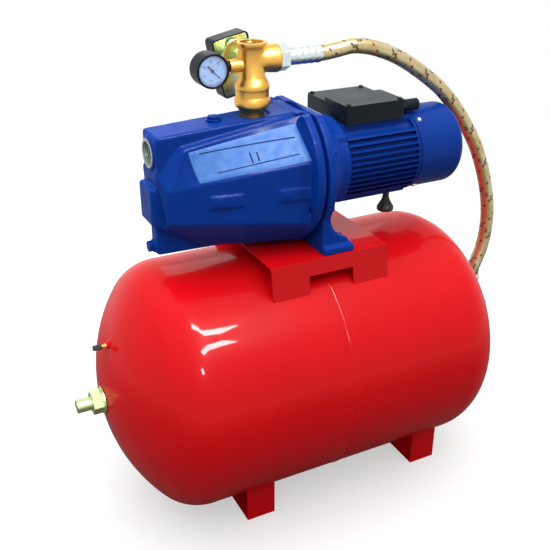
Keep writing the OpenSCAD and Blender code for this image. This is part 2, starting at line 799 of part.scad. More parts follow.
module motor_bracket() {
    shield = bracket_flange_t;
    color(pump_blue) difference() {
        union() {
            along_x(face_x + 2, bracket_flange_t - 2, shaft_z) {
                flange_outline(flange_r, flange_bottom);
                translate([-plate_half_w, -shaft_rise]) square([2 * plate_half_w, shaft_rise]);
            }
            rod_x(face_x, 3, flange_r - 4.5 - 8, z = shaft_z);
            ring_x(face_x - spigot_l, spigot_l + 1, chamber_r - seat, chamber_r - 8, shaft_z);
            turned_x(face_x, shaft_z) polygon([[0, shield - 1], [78, shield - 1], [78, shield],
                [64, shield + 27], [62, shield + 32], [62, 58], [0, 58]]);
            for (a = [45:90:315]) rotate_about_x(a, shaft_z)
                rod_x(face_x + 30, 27, 9, z = shaft_z + tie_circle_r + 5);
            ring_x(face_x + 57, 4, stator_r - seat, stator_r - 4, shaft_z);
            bracket_foot();
        }
        // Seal chamber, shaft passage and bearing seat.
        rod_x(face_x - cut, cut + 0.5, chamber_r - 8, z = shaft_z);
        rod_x(face_x, 8, 14 + seat, z = shaft_z);
        rod_x(face_x, 60, shaft_r + 1, z = shaft_z);
        rod_x(front_bearing_x, 30, bearing_r + seat, z = shaft_z);
        // Drip chamber round the bearing hub.
        difference() {
            turned_x(face_x, shaft_z) polygon([[24, shield + 3], [70, shield + 3],
                [57, shield + 28], [57, 52], [24, 52]]);
            rod_x(face_x, 60, 24, z = shaft_z);
        }
        // Recess that leaves two pads under the foot.
        translate([face_x, -44, platform_z - cut]) cube([60, 88, 3 + cut]);
        // O-ring groove, tie bolts, body bolts and foot bolts.
        ring_x(face_x - 5, 3, chamber_r + cut, chamber_r - 3, shaft_z);
        for (a = [45:90:315]) rotate_about_x(a, shaft_z)
            rod_x(face_x + 36, 30, tie_r + seat, z = shaft_z + tie_circle_r);
        at_body_bolts(face_x - cut) cylinder(h = 30, r = 4 + seat);
        for (side = [-1, 1])
            translate([foot_bolt_x, side * foot_bolt_y, platform_z - cut])
                cylinder(h = 30, r = foot_bolt_r + seat);
    }
}

module seal_seat() {
    color([0.85, 0.85, 0.80]) ring_x(face_x + 1, 7, 14, shaft_r + 1, shaft_z);
}

module seal_head() {
    color(steel_grey) difference() {
        union() {
            rod_x(face_x - 8.9, 7, 13, z = shaft_z);
            rod_x(face_x - 3, 1 + 3 - free, 11.5, z = shaft_z);
        }
        rod_x(face_x - 20, 40, 7 + running, z = shaft_z);
    }
}

// Bolts down through the foot and the platform, with nuts below.
module pump_foot_bolts() {
    reach = foot_t + strip_t;
    color(zinc_grey) for (side = [-1, 1])
        translate([foot_bolt_x, side * foot_bolt_y, platform_z + foot_t]) {
            bolt(foot_bolt_r, reach + 8, 16, 6.5);
            translate([0, 0, -reach - 6]) hex(16, 6);
        }
}

// Motor.

module frame_outline() {
    difference() {
        union() {
            circle(r = frame_r - 6.5, $fn = 128);
            intersection() {
                circle(r = frame_r, $fn = 128);
                union() {
                    for (i = [-5:5]) translate([-frame_r, i * fin_pitch - fin_t / 2])
                        square([2 * frame_r, fin_t]);
                    for (i = [-3:3]) translate([i * fin_pitch - fin_t / 2, -frame_r])
                        square([fin_t, frame_r]);
                    for (a = [45:90:315])
                        translate([tie_circle_r * cos(a), tie_circle_r * sin(a)]) circle(r = 6);
                    translate([-pad_half_w, 0]) square([2 * pad_half_w, motor_r]);
                }
            }
        }
        translate([-frame_r, motor_r - 4]) square([2 * frame_r, motor_r]);
    }
}

// Extruded frame with level fins at the sides, upright ones below and a pad for the box.
module motor_frame() {
    color(pump_blue) difference() {
        union() {
            along_x(frame_x, frame_l - 5, shaft_z) frame_outline();
            rod_x(rear_x - 7, 5, motor_r + 1, z = shaft_z);
            rod_x(rear_x - 2.1, 2.1, motor_r - 1.5, z = shaft_z);
            translate([rubber_x, 0, rubber_top_z]) cylinder(h = 13, r = 9);
        }
        rod_x(frame_x - cut, frame_l + 2 * cut, stator_r, z = shaft_z);
        for (a = [45:90:315]) rotate_about_x(a, shaft_z)
            rod_x(frame_x - cut, frame_l + 2 * cut, tie_r + seat, z = shaft_z + tie_circle_r);
        rod_x(frame_x - cut, 4 + cut, stator_r + 0.2, z = shaft_z);
        translate([rubber_x, 0, rubber_top_z - cut]) cylinder(h = 7, r = 3 + seat);
    }
}

// Wound stator: the laminated ring with a winding head at each end.
module stator() {
    color([0.62, 0.36, 0.20]) {
        ring_x(frame_x + 24, 70, stator_r - seat, 31, shaft_z);
        ring_x(frame_x + 10, 14, stator_r - 3, 34, shaft_z);
        ring_x(frame_x + 94, 14, stator_r - 3, 34, shaft_z);
    }
}

// Laminated core with its cast end rings.
module rotor_core() {
    color(steel_grey) {
        ring_x(frame_x + 24, 70, 31 - free - 0.1, mid_shaft_r + running, shaft_z);
        ring_x(frame_x + 16, 8, 28, 18, shaft_z);
        ring_x(frame_x + 94, 8, 28, 18, shaft_z);
    }
}

module motor_shaft() {
    front_end = front_bearing_x + bearing_w + free;
    rear_end = rear_bearing_x - free;
    color(steel_grey) {
        rod_x(face_x - 33, 30, 6, z = shaft_z);
        rod_x(face_x - 9, front_bearing_x - face_x + 9, 7, z = shaft_z);
        rod_x(front_bearing_x, bearing_w + 1, shaft_r, z = shaft_z);
        rod_x(front_end, rear_end - front_end, mid_shaft_r, z = shaft_z);
        rod_x(rear_end - 1, bearing_w + 2, shaft_r, z = shaft_z);
        rod_x(rear_end, 60, 6, z = shaft_z);
    }
}

// Sealed ball bearing with a groove between its two rings.
module bearing(x) {
    color([0.80, 0.81, 0.82]) difference() {
        ring_x(x, bearing_w, bearing_r, shaft_r + running, shaft_z);
        for (side = [0, 1]) ring_x(x - 1 + side * (bearing_w + 0.5), 1.5, 14.5, 10.5, shaft_z);
    }
}

module front_bearing() {
    bearing(front_bearing_x);
}

module rear_bearing() {
    bearing(rear_bearing_x);
}

module rear_end_shield() {
    rim_r = motor_r - cover_wall - seat;
    color([0.60, 0.62, 0.64]) difference() {
        union() {
            ring_x(rear_x, rim_l, rim_r, rim_r - 9, shaft_z);
            ring_x(rear_x, 4, rim_r, 20, shaft_z);
            ring_x(rear_x - 4, 5, stator_r - seat, stator_r - 4, shaft_z);
            rod_x(rear_x - 10, 16, 22, z = shaft_z);
            for (a = [0:45:315]) rotate_about_x(a, shaft_z)
                translate([rear_x, -1.5, shaft_z + 20]) cube([8, 3, 30]);
        }
        rod_x(rear_x - 11, 20, shaft_r + 1, z = shaft_z);
        rod_x(rear_x - 11, 3 + bearing_w, bearing_r + seat, z = shaft_z);
        for (a = [45:90:315]) rotate_about_x(a, shaft_z) {
            rod_x(rear_x - cut, 30, tie_r + seat, z = shaft_z + tie_circle_r);
            rod_x(rear_x + 4, 30, 5, z = shaft_z + tie_circle_r);
        }
        at_cover_screws() translate([0, 0, -9]) cylinder(h = 20, r = 2 + seat, $fn = 24);
    }
}

// Long bolts from the rear shield through the frame into the bracket.
module tie_bolts() {
    color(zinc_grey) for (a = [45:90:315]) rotate_about_x(a, shaft_z)
        translate([rear_x + 4, 0, shaft_z + tie_circle_r]) rotate([0, 90, 0])
            bolt(tie_r, frame_l + 4 + 18, 8, 3.5);
}

module cooling_fan() {
    hub_x = rear_x + 14;
    color([0.15, 0.16, 0.17]) difference() {
        union() {
            rod_x(hub_x, 22, 13, z = shaft_z);
            rod_x(hub_x, 2, 44, z = shaft_z);
            for (a = [0:45:315]) rotate_about_x(a, shaft_z)
                translate([hub_x + 0.5, -1.2, shaft_z + 10]) cube([20, 2.4, 40]);
        }
        rod_x(hub_x - cut, 40, 6 + running, z = shaft_z);
    }
}

module at_cover_screws() {
    for (a = [35, 145, 215, 325]) rotate_about_x(a, shaft_z)
        translate([rear_x + 7, 0, shaft_z + motor_r]) children();
}

// Outline of a round cup with a rolled edge, with y = 0 where the edge starts to roll in.
module rolled_cup(r, roll, straight) {
    translate([0, -straight]) square([r, straight]);
    translate([0, -straight]) square([r - roll, straight + roll]);
    translate([r - roll, 0]) intersection() {
        circle(r = roll, $fn = 96);
        square(roll + cut);
    }
}

// Pressed cover with a slotted end for the cooling air.
module fan_cover() {
    straight = fan_cover_l - cover_roll;
    color(pump_blue) difference() {
        turned_x(rear_x + straight, shaft_z) difference() {
            rolled_cup(motor_r, cover_roll, straight);
            rolled_cup(motor_r - cover_wall, cover_roll - cover_wall, straight + cut);
        }
        along_x(rear_x + straight, 2 * cover_roll, shaft_z) difference() {
            union() for (r = [10:7:38]) difference() {
                circle(r = r + 4);
                circle(r = r);
            }
            for (a = [0:60:120]) rotate(a) square([2 * motor_r, 5], center = true);
        }
        at_cover_screws() translate([0, 0, -5]) cylinder(h = 10, r = 2 + seat, $fn = 24);
    }
}

// Pan head screw pointing down, with the seat of its head at the origin.
module pan_screw(l) {
    translate([0, 0, -l]) cylinder(h = l, r = 2, $fn = 24);
    cylinder(h = 2.2, r1 = 3.6, r2 = 2.8, $fn = 24);
}

module at_lid_screws() {
    for (sx = [-1, 1], sy = [-1, 1])
        translate([box_x + box_l / 2 + sx * (box_l / 2 - 6), box_y + sy * (box_w / 2 - 6),
            box_z + box_h + (sy < 0 ? lid_h : lid_edge)]) children();
}

// Four screws in the fan cover and four in the terminal box's lid.
module small_screws() {
    color(zinc_grey) {
        at_cover_screws() pan_screw(7);
        at_lid_screws() pan_screw(lid_h + 6);
    }
}

module terminal_box() {
    middle = box_x + box_l / 2;
    color(plastic_black) difference() {
        translate([middle, box_y, box_z]) round_block(box_l, box_w, box_h, 4);
        translate([middle, box_y, box_z + 2.5]) difference() {
            round_block(box_l - 5, box_w - 5, box_h, 3);
            for (sx = [-1, 1], sy = [-1, 1])
                translate([sx * (box_l / 2 - 6), sy * (box_w / 2 - 6), -cut])
                    cylinder(h = box_h, r = 5);
        }
        at_lid_screws() translate([0, 0, -lid_h - 8]) cylinder(h = 20, r = 2 + seat, $fn = 24);
        rod_x(box_x + box_l - 5, 10, gland_thread_r + seat, y = gland_y, z = gland_z);
    }
}

// Lid with a raised near part and a low far part.
module terminal_lid() {
    raised_y = box_near_y + raised_w / 2;
    color(plastic_black) difference() {
        union() {
            translate([box_x + box_l / 2, box_y, box_z + box_h])
                round_block(box_l - 0.4, box_w - 0.4, lid_edge, 4);
            translate([box_x + box_l / 2, raised_y, box_z + box_h + lid_edge - 0.5])
                round_block(box_l - 0.6, raised_w - 0.6, lid_h - lid_edge + 0.5, 3);
        }
        translate([box_x + box_l / 2, raised_y, box_z + box_h - cut]) difference() {
            round_block(box_l - 6, raised_w - 6, lid_h - 2 + cut, 3);
            for (sx = [-1, 1]) translate([sx * (box_l / 2 - 6), 6 - raised_w / 2, 0])
                cylinder(h = lid_h, r = 5);
        }
        at_lid_screws() translate([0, 0, -lid_h - 1]) cylinder(h = 20, r = 2 + seat, $fn = 24);
    }
}

// Round run capacitor lying in the box.
module capacitor() {
    color([0.82, 0.82, 0.80]) rod_x(box_x + 16, 56, 9, y = 14, z = box_z + 2.5 + 9.1);
}

module terminal_block() {
    color([0.90, 0.90, 0.88]) translate([box_x + 24, -24, box_z + 2.5]) difference() {
        cube([44, 16, 12]);
        for (i = [0:3]) translate([6.5 + i * 10.5, 8, 4]) cylinder(h = 10, r = 2.6, $fn = 24);
    }
}

module cable_gland() {
    end_x = box_x + box_l;
    color(plastic_black) difference() {
        union() {
            rod_x(end_x - 3, 4, gland_thread_r, y = gland_y, z = gland_z);
            translate([end_x, gland_y, gland_z]) rotate([0, 90, 0]) rotate(30) hex(17, 8);
            rod_x(end_x + 7.9, gland_l - 7.9, 8.4, y = gland_y, z = gland_z);
        }
        rod_x(end_x - 10, gland_l + 20, 4, y = gland_y, z = gland_z);
    }
}

// Cone-shaped support plugged into the frame's lower boss.
module rubber_foot() {
    drop = rubber_top_z - platform_z - rubber_lift;
    color(rubber_black) translate([rubber_x, 0, platform_z + rubber_lift]) {
        rotate_extrude() polygon([[0, 0], [11.5, 0], [12.5, 1.5], [12.5, 6], [10.5, 9],
            [6, 17], [4.8, 22], [4.8, drop], [0, drop]]);
        translate([0, 0, drop - 1]) cylinder(h = 7, r = 3);
    }
}

// Brass fittings above the discharge port.

module check_valve_body() {
    color(brass_gold) translate([discharge_x, 0, port_face_z]) difference() {
        union() {
            translate([0, 0, -12]) cylinder(h = 13, r = port_r - seat);
            rotate_extrude() polygon([[0, 0], [16, 0], [16, 3], [18.2, 9], [valve_r - 0.7, 13.5],
                [valve_r, 16], [valve_r, 21], [valve_r - valve_waist, valve_joint_h],
                [0, valve_joint_h]]);
        }
        translate([0, 0, -20]) cylinder(h = 60, r = 10.5);
        translate([0, 0, valve_seat_h]) cylinder(h = 20, r = valve_room_r);
    }
}

module valve_disc() {
    color([0.93, 0.92, 0.88]) translate([discharge_x, 0, port_face_z + valve_seat_h + seat]) {
        cylinder(h = valve_disc_t, r = valve_disc_r);
        cylinder(h = guide_h - valve_seat_h + 6, r = valve_stem_r);
    }
}

// Closing spring between the disc and the guide above it.
module valve_spring() {
    bottom = port_face_z + valve_seat_h + valve_disc_t + 2 * seat;
    top = port_face_z + guide_h - seat;
    color(steel_grey) translate([discharge_x, 0, bottom]) coil_spring(6.5, 0.7, 5, top - bottom);
}

module five_way_body() {
    color(brass_gold) difference() {
        union() {
            translate([discharge_x, 0, port_face_z]) {
                rotate_extrude() polygon([[0, valve_joint_h],
                    [valve_r - valve_waist, valve_joint_h], [valve_r - valve_waist, 34],
                    [valve_r - 1, 36], [valve_r - 1, 41], [cross_r + 3, 46], [cross_r, 51],
                    [cross_r, fitting_h - 9], [cross_r + 2.6, fitting_h - 3],
                    [cross_r + 2.6, fitting_h], [0, fitting_h]]);
            }
            turned_x(discharge_x, branch_z) polygon([[0, 0], [cross_r - 0.4, 0],
                [cross_r - 0.4, 14], [cross_r + 1.6, branch_l - 2], [cross_r + 1, branch_l],
                [0, branch_l]]);
            rod_x(discharge_x - 32, 32, 8.5, z = small_port_z);
            rod_y(0, 27, 10, discharge_x, switch_port_z);
        }
        translate([discharge_x, 0, port_face_z]) {
            translate([0, 0, 20]) cylinder(h = guide_h - 20, r = valve_room_r);
            difference() {
                translate([0, 0, guide_h - cut]) cylinder(h = fitting_h, r = 12.5);
                translate([0, 0, guide_h]) cylinder(h = 5, r = 8);
                for (a = [0:60:120]) translate([0, 0, guide_h + 2.5]) rotate(a)
                    cube([30, 3, 5], center = true);
            }
            translate([0, 0, 30]) cylinder(h = 30, r = valve_stem_r + free);
            translate([0, 0, fitting_h - 17]) cylinder(h = 20, r = port_r);
        }
        rod_x(discharge_x, branch_l, 11, z = branch_z);
        rod_x(branch_end_x - 16, 20, port_r, z = branch_z);
        rod_x(discharge_x - 40, 40, 4.5, z = small_port_z);
        rod_y(0, 40, 4.5, discharge_x, switch_port_z);
    }
}

// Pressure gauge, its stem towards the five-way body and its dial towards -Y.

module gauge_case() {
    stem_x = gauge_x + gauge_r;
    color(plastic_black) {
        difference() {
            rod_y(gauge_front_y, gauge_depth, gauge_r, gauge_x, small_port_z);
            rod_y(gauge_front_y - cut, gauge_depth - 2 + cut, gauge_r - 2, gauge_x, small_port_z);
        }
        rod_y(gauge_front_y + 4.5, gauge_depth - 5, 4, gauge_x, small_port_z);
        difference() {
            rod_x(stem_x - 1.5, discharge_x - 32 - stem_x + 1.5, 7, z = small_port_z);
            rod_y(gauge_front_y, gauge_depth, gauge_r - 1, gauge_x, small_port_z);
        }
        rod_x(discharge_x - 33, 12, 4.4, z = small_port_z);
    }
}

module gauge_dial() {
    color([0.72, 0.80, 0.93]) difference() {
        rod_y(gauge_front_y + 3.7, 0.8, gauge_r - 2 - seat, gauge_x, small_port_z);
        rod_y(gauge_front_y, 10, 0.9 + running, gauge_x, small_port_z);
    }
}

// Pointer at its zero mark, low on the right because the case is mounted on its side.
module gauge_needle() {
    color(plastic_black) translate([gauge_x, gauge_front_y + 3.2, small_port_z])
        rotate([90, 0, 0]) rotate(-45) {
            linear_extrude(0.5) polygon([[-9, -1], [14, -0.4], [14.5, 0], [14, 0.4], [-9, 1]]);
            translate([0, 0, -0.2]) cylinder(h = 1, r = 2.2);
            translate([0, 0, -1.2]) cylinder(h = 1.5, r = 0.9, $fn = 24);
        }
}

module gauge_lens() {
    color([0.9, 0.95, 1, 0.3])
        rod_y(gauge_front_y + 0.4, 1.4, gauge_r - 2 - seat, gauge_x, small_port_z);
}

// Pressure switch, drawn upright round its port and then leaned.
module at_switch() {
    translate([discharge_x, 0, switch_port_z]) rotate([0, -switch_lean, 0]) children();
}

// Block of the cover's outline, drawn in by inset on all four sides.
module upright_block(inset, h, y) {
    translate([0, y, switch_top - switch_l / 2]) rotate([-90, 0, 0])
        round_block(switch_w - 2 * inset, switch_l - 2 * inset, h, switch_corner_r - inset);
}

module switch_base() {
    ear_z = lever_pivot_z;
    color([0.78, 0.74, 0.42]) at_switch() {
        difference() {
            union() {
                upright_block(switch_wall + seat, 2, switch_y + 2);
                rod_y(40, switch_y - 37, 22);
                translate([0, 27, 0]) rotate([-90, 0, 0]) hex(17, 13.1);
                rod_y(18, 10, 4.4);
            }
            rod_y(10, 35, 2.5);
        }
        for (side = [-1, 1]) difference() {
            translate([side * 18 - 1.5, switch_y + 3, ear_z - 5]) cube([3, 15.5, 10]);
            rod_x(-30, 60, 1.5 + running, y = lever_y, z = ear_z);
        }
        translate([-22, switch_y + 3, switch_top - switch_l + 5]) cube([44, 14, 26]);
        rod_y(switch_y + 3, 8.5, 3);
    }
}

module switch_cover() {
    color(plastic_black) at_switch() difference() {
        upright_block(0, switch_depth, switch_y);
        upright_block(switch_wall, switch_depth - switch_wall + cut, switch_y - cut);
    }
}

module switch_lever() {
    color(zinc_grey) at_switch() {
        translate([-14, lever_y - 1, lever_pivot_z - lever_l]) cube([28, 2, lever_l]);
        rod_x(-19.5, 39, 1.5, y = lever_y, z = lever_pivot_z);
    }
}

// Main spring between the lever and the cover's back.
module switch_spring() {
    start = lever_y + 1 + seat;
    end = switch_y + switch_depth - switch_wall - seat;
    color(steel_grey) at_switch() translate([0, start, switch_spring_z]) rotate([-90, 0, 0])
        coil_spring(6, 0.8, 4, end - start);
}

// Braided hose with its crimped sleeves and nuts.

module hose() {
    color([0.72, 0.70, 0.62]) swept_tube(hose_points, hose_d / 2, 12);
}

module sleeve(l) {
    difference() {
        cylinder(h = l, r = sleeve_r);
        for (i = [0:3]) translate([0, 0, l - 5 - i * 5]) rotate_extrude()
            translate([sleeve_r + 0.6, 0]) circle(r = 1.4, $fn = 24);
    }
}

module hose_ferrules() {
    color(zinc_grey) {
        translate([branch_end_x + nut_l, 0, branch_z]) rotate([0, 90, 0]) sleeve(upper_sleeve_l);
        translate([elbow_x, 0, elbow_top_z + nut_l]) sleeve(lower_sleeve_l);
    }
}

module hose_nuts() {
    color(zinc_grey) {
        translate([branch_end_x, 0, branch_z]) rotate([0, 90, 0]) hex(31, nut_l);
        rod_x(branch_end_x - 13, 14, port_r - seat, z = branch_z);
        translate([elbow_x, 0, elbow_top_z]) difference() {
            rotate(30) hex(30, nut_l);
            translate([0, 0, -cut]) cylinder(h = nut_l - 3, r = elbow_thread_r + seat);
        }
    }
}

tank_shell_left();
tank_shell_right();
seam_weld();
bladder();
foot_left();
foot_right();
pump_platform();
neck_ring();
counter_flange();
flange_bolts();
tank_elbow();
tail_stud();
tail_nut();
air_valve();
air_valve_cap();
pump_body();
ejector_nozzle();
venturi_tube();
diffuser();
impeller();
body_oring();
priming_plug();
drain_plug();
body_bolts();
motor_bracket();
seal_seat();
seal_head();
pump_foot_bolts();
motor_frame();
stator();
rotor_core();
motor_shaft();
front_bearing();
rear_bearing();
rear_end_shield();
tie_bolts();
cooling_fan();
fan_cover();
small_screws();
terminal_box();
terminal_lid();
capacitor();
terminal_block();
cable_gland();
rubber_foot();
check_valve_body();
five_way_body();
valve_disc();
valve_spring();
gauge_case();
gauge_dial();
gauge_needle();
gauge_lens();
switch_base();
switch_cover();
switch_lever();
switch_spring();
hose();
hose_ferrules();
hose_nuts();
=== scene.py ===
import json
import math

import bmesh
import bpy
import numpy as np
from bpy.props import FloatProperty, FloatVectorProperty, IntProperty, PointerProperty
from mathutils import Matrix, Vector

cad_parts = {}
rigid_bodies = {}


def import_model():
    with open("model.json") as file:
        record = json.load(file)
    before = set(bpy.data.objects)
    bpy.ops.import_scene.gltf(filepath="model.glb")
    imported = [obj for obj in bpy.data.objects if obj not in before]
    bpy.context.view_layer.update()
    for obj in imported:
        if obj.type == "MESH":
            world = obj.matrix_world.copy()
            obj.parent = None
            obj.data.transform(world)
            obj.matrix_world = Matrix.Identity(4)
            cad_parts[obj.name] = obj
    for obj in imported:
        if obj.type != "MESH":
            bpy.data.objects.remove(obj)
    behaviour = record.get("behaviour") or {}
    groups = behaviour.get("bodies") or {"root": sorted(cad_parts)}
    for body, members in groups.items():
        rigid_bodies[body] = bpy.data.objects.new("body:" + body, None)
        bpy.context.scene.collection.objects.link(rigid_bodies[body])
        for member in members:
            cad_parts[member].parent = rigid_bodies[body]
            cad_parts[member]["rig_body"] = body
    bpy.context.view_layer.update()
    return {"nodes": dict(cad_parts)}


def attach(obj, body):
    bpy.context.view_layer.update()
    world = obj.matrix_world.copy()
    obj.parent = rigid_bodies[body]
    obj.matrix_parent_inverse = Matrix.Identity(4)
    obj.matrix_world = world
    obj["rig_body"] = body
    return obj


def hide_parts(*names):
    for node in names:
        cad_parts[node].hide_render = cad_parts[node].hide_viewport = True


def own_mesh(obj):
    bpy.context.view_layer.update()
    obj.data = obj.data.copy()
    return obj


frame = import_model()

bl_info = {
    "name": "Jet pump with pressure tank",
    "version": (1, 0, 0),
    "blender": (4, 5, 0),
    "location": "View3D > Sidebar > Jet pump",
    "description": "Finishes and fine detail for a jet pump on its pressure tank",
    "category": "Object",
}

MM = 0.001
UNIT = "unit"

# Places and sizes that the solids fix, in millimetres, +X towards the hose end, +Z up.
TANK_Z = 197.0
TANK_R = 180.0
SEAM_X = -28.0
HALF_STRAIGHT = 195.5
DOME_DEPTH = 110.0
KNUCKLE_R = 70.0
AIR_VALVE_Z = 282.0
STUD_END_X = -370.6
STUD_THREAD_R = 9.75
SUCTION_FACE_X = -244.9
SUCTION_Z = 541
DISCHARGE_X = -98.0
DISCHARGE_THREAD_Z = 648
GAUGE_X = -159.0
GAUGE_Z = 638.0
GAUGE_FRONT_Y = -19.0
DIAL_DEPTH = 3.7
# The small screws above this height hold the terminal box's lid.
LID_SCREWS_Z = 560
# Where the two springs rest on their fixed ends.
VALVE_SPRING_TOP = 611.9
SWITCH_SPRING_BACK = 79.9
# Corners of the far sloped flank of the pump: high front, high rear, low rear, low front.
FLANK = ((-207.2, 35.9, 547.1), (-46.6, 34.4, 573.0), (-47.3, 78.4, 523.9),
         (-231.8, 43.6, 501.6))
# The hose's route, x and z at y 0, from the fitting to the tank's end.
HOSE_POINTS = [
    (1, 643), (8, 643), (26, 645), (50, 648), (74, 645), (98, 638), (124, 627),
    (149, 613), (176, 595), (204, 574), (226, 552), (247, 528), (266, 502), (283, 475),
    (297, 446), (309, 415), (318, 384), (323, 352), (323, 322), (319, 297), (313, 279),
    (308, 266), (306, 257), (306, 251),
]

# Fine detail that the solids leave out, in millimetres.
UPPER_SLEEVE = 51.0
LOWER_SLEEVE = 25.0
PORT_THREAD_R = 15.0
PORT_THREAD_DEPTH = 1.1
PLATE_L, PLATE_W, PLATE_T = 150, 46, 0.75
PLATE_LINE_HEIGHT = 0.83

# The camera's place in metres and its directions, fitted to the photograph.
CAMERA_PLACE = (-0.54385, -0.94730, 0.86036)
CAMERA_RIGHT = (0.892509, -0.451030, 0.000233)
CAMERA_AHEAD = (0.403736, 0.798691, -0.446195)
# The spot that the lamps face, in metres.
LAMP_AIM = (-0.1, -0.05, 0.33)


# Colours and shader nodes.

def linear(code):
    """Turn an sRGB hex value such as d3141a into linear red, green, blue and alpha."""
    parts = [int(code[i:i + 2], 16) / 255 for i in (0, 2, 4)]
    return tuple(p / 12.92 if p <= 0.04045 else ((p + 0.055) / 1.055) ** 2.4
                 for p in parts) + (1.0,)


def darker(colour, share):
    """The colour at a share of its brightness, with alpha."""
    return tuple(c * share for c in colour[:3]) + (1.0,)


def add(tree, kind, inputs=None, **settings):
    """Add a node with its settings; inputs maps a socket's name to a value or socket."""
    made = tree.nodes.new(kind)
    for name, value in settings.items():
        setattr(made, name, value)
    for name, value in (inputs or {}).items():
        if isinstance(value, bpy.types.NodeSocket):
            tree.links.new(value, made.inputs[name])
        else:
            made.inputs[name].default_value = value
    return made


def shade(name, colour, tone, patch_mm, roughness, spread, grain_mm, grain_depth_mm,
          **sockets):
    """Material whose colour and roughness drift in patches, with a grain on its surface.

    tone is the darker colour of the patches, spread how far the roughness drifts, and
    sockets are constants for the shader, by their names with _ for a space.
    """
    material = bpy.data.materials.new(name)
    material.use_nodes = True
    tree = material.node_tree
    tree.nodes.clear()
    place = add(tree, "ShaderNodeTexCoord").outputs["Object"]
    patches = add(tree, "ShaderNodeTexNoise", {
        "Vector": place, "Scale": 1 / (patch_mm * MM), "Detail": 3.0, "Roughness": 0.55})
    mix = add(tree, "ShaderNodeMix", {
        "Factor": patches.outputs["Fac"], "A": colour, "B": tone}, data_type="RGBA")
    rough = add(tree, "ShaderNodeMapRange", {
        "Value": patches.outputs["Fac"], "From Min": 0.3, "From Max": 0.7,
        "To Min": roughness - spread, "To Max": roughness + spread})
    grain = add(tree, "ShaderNodeTexNoise", {
        "Vector": place, "Scale": 1 / (grain_mm * MM), "Detail": 2.0})
    bump = add(tree, "ShaderNodeBump", {
        "Height": grain.outputs["Fac"], "Strength": 1.0, "Distance": grain_depth_mm * MM})
    inputs = {"Base Color": mix.outputs["Result"], "Roughness": rough.outputs["Result"],
              "Normal": bump.outputs["Normal"]}
    inputs.update({key.replace("_", " "): value for key, value in sockets.items()})
    shader = add(tree, "ShaderNodeBsdfPrincipled", inputs)
    add(tree, "ShaderNodeOutputMaterial", {"Surface": shader.outputs["BSDF"]})
    return material


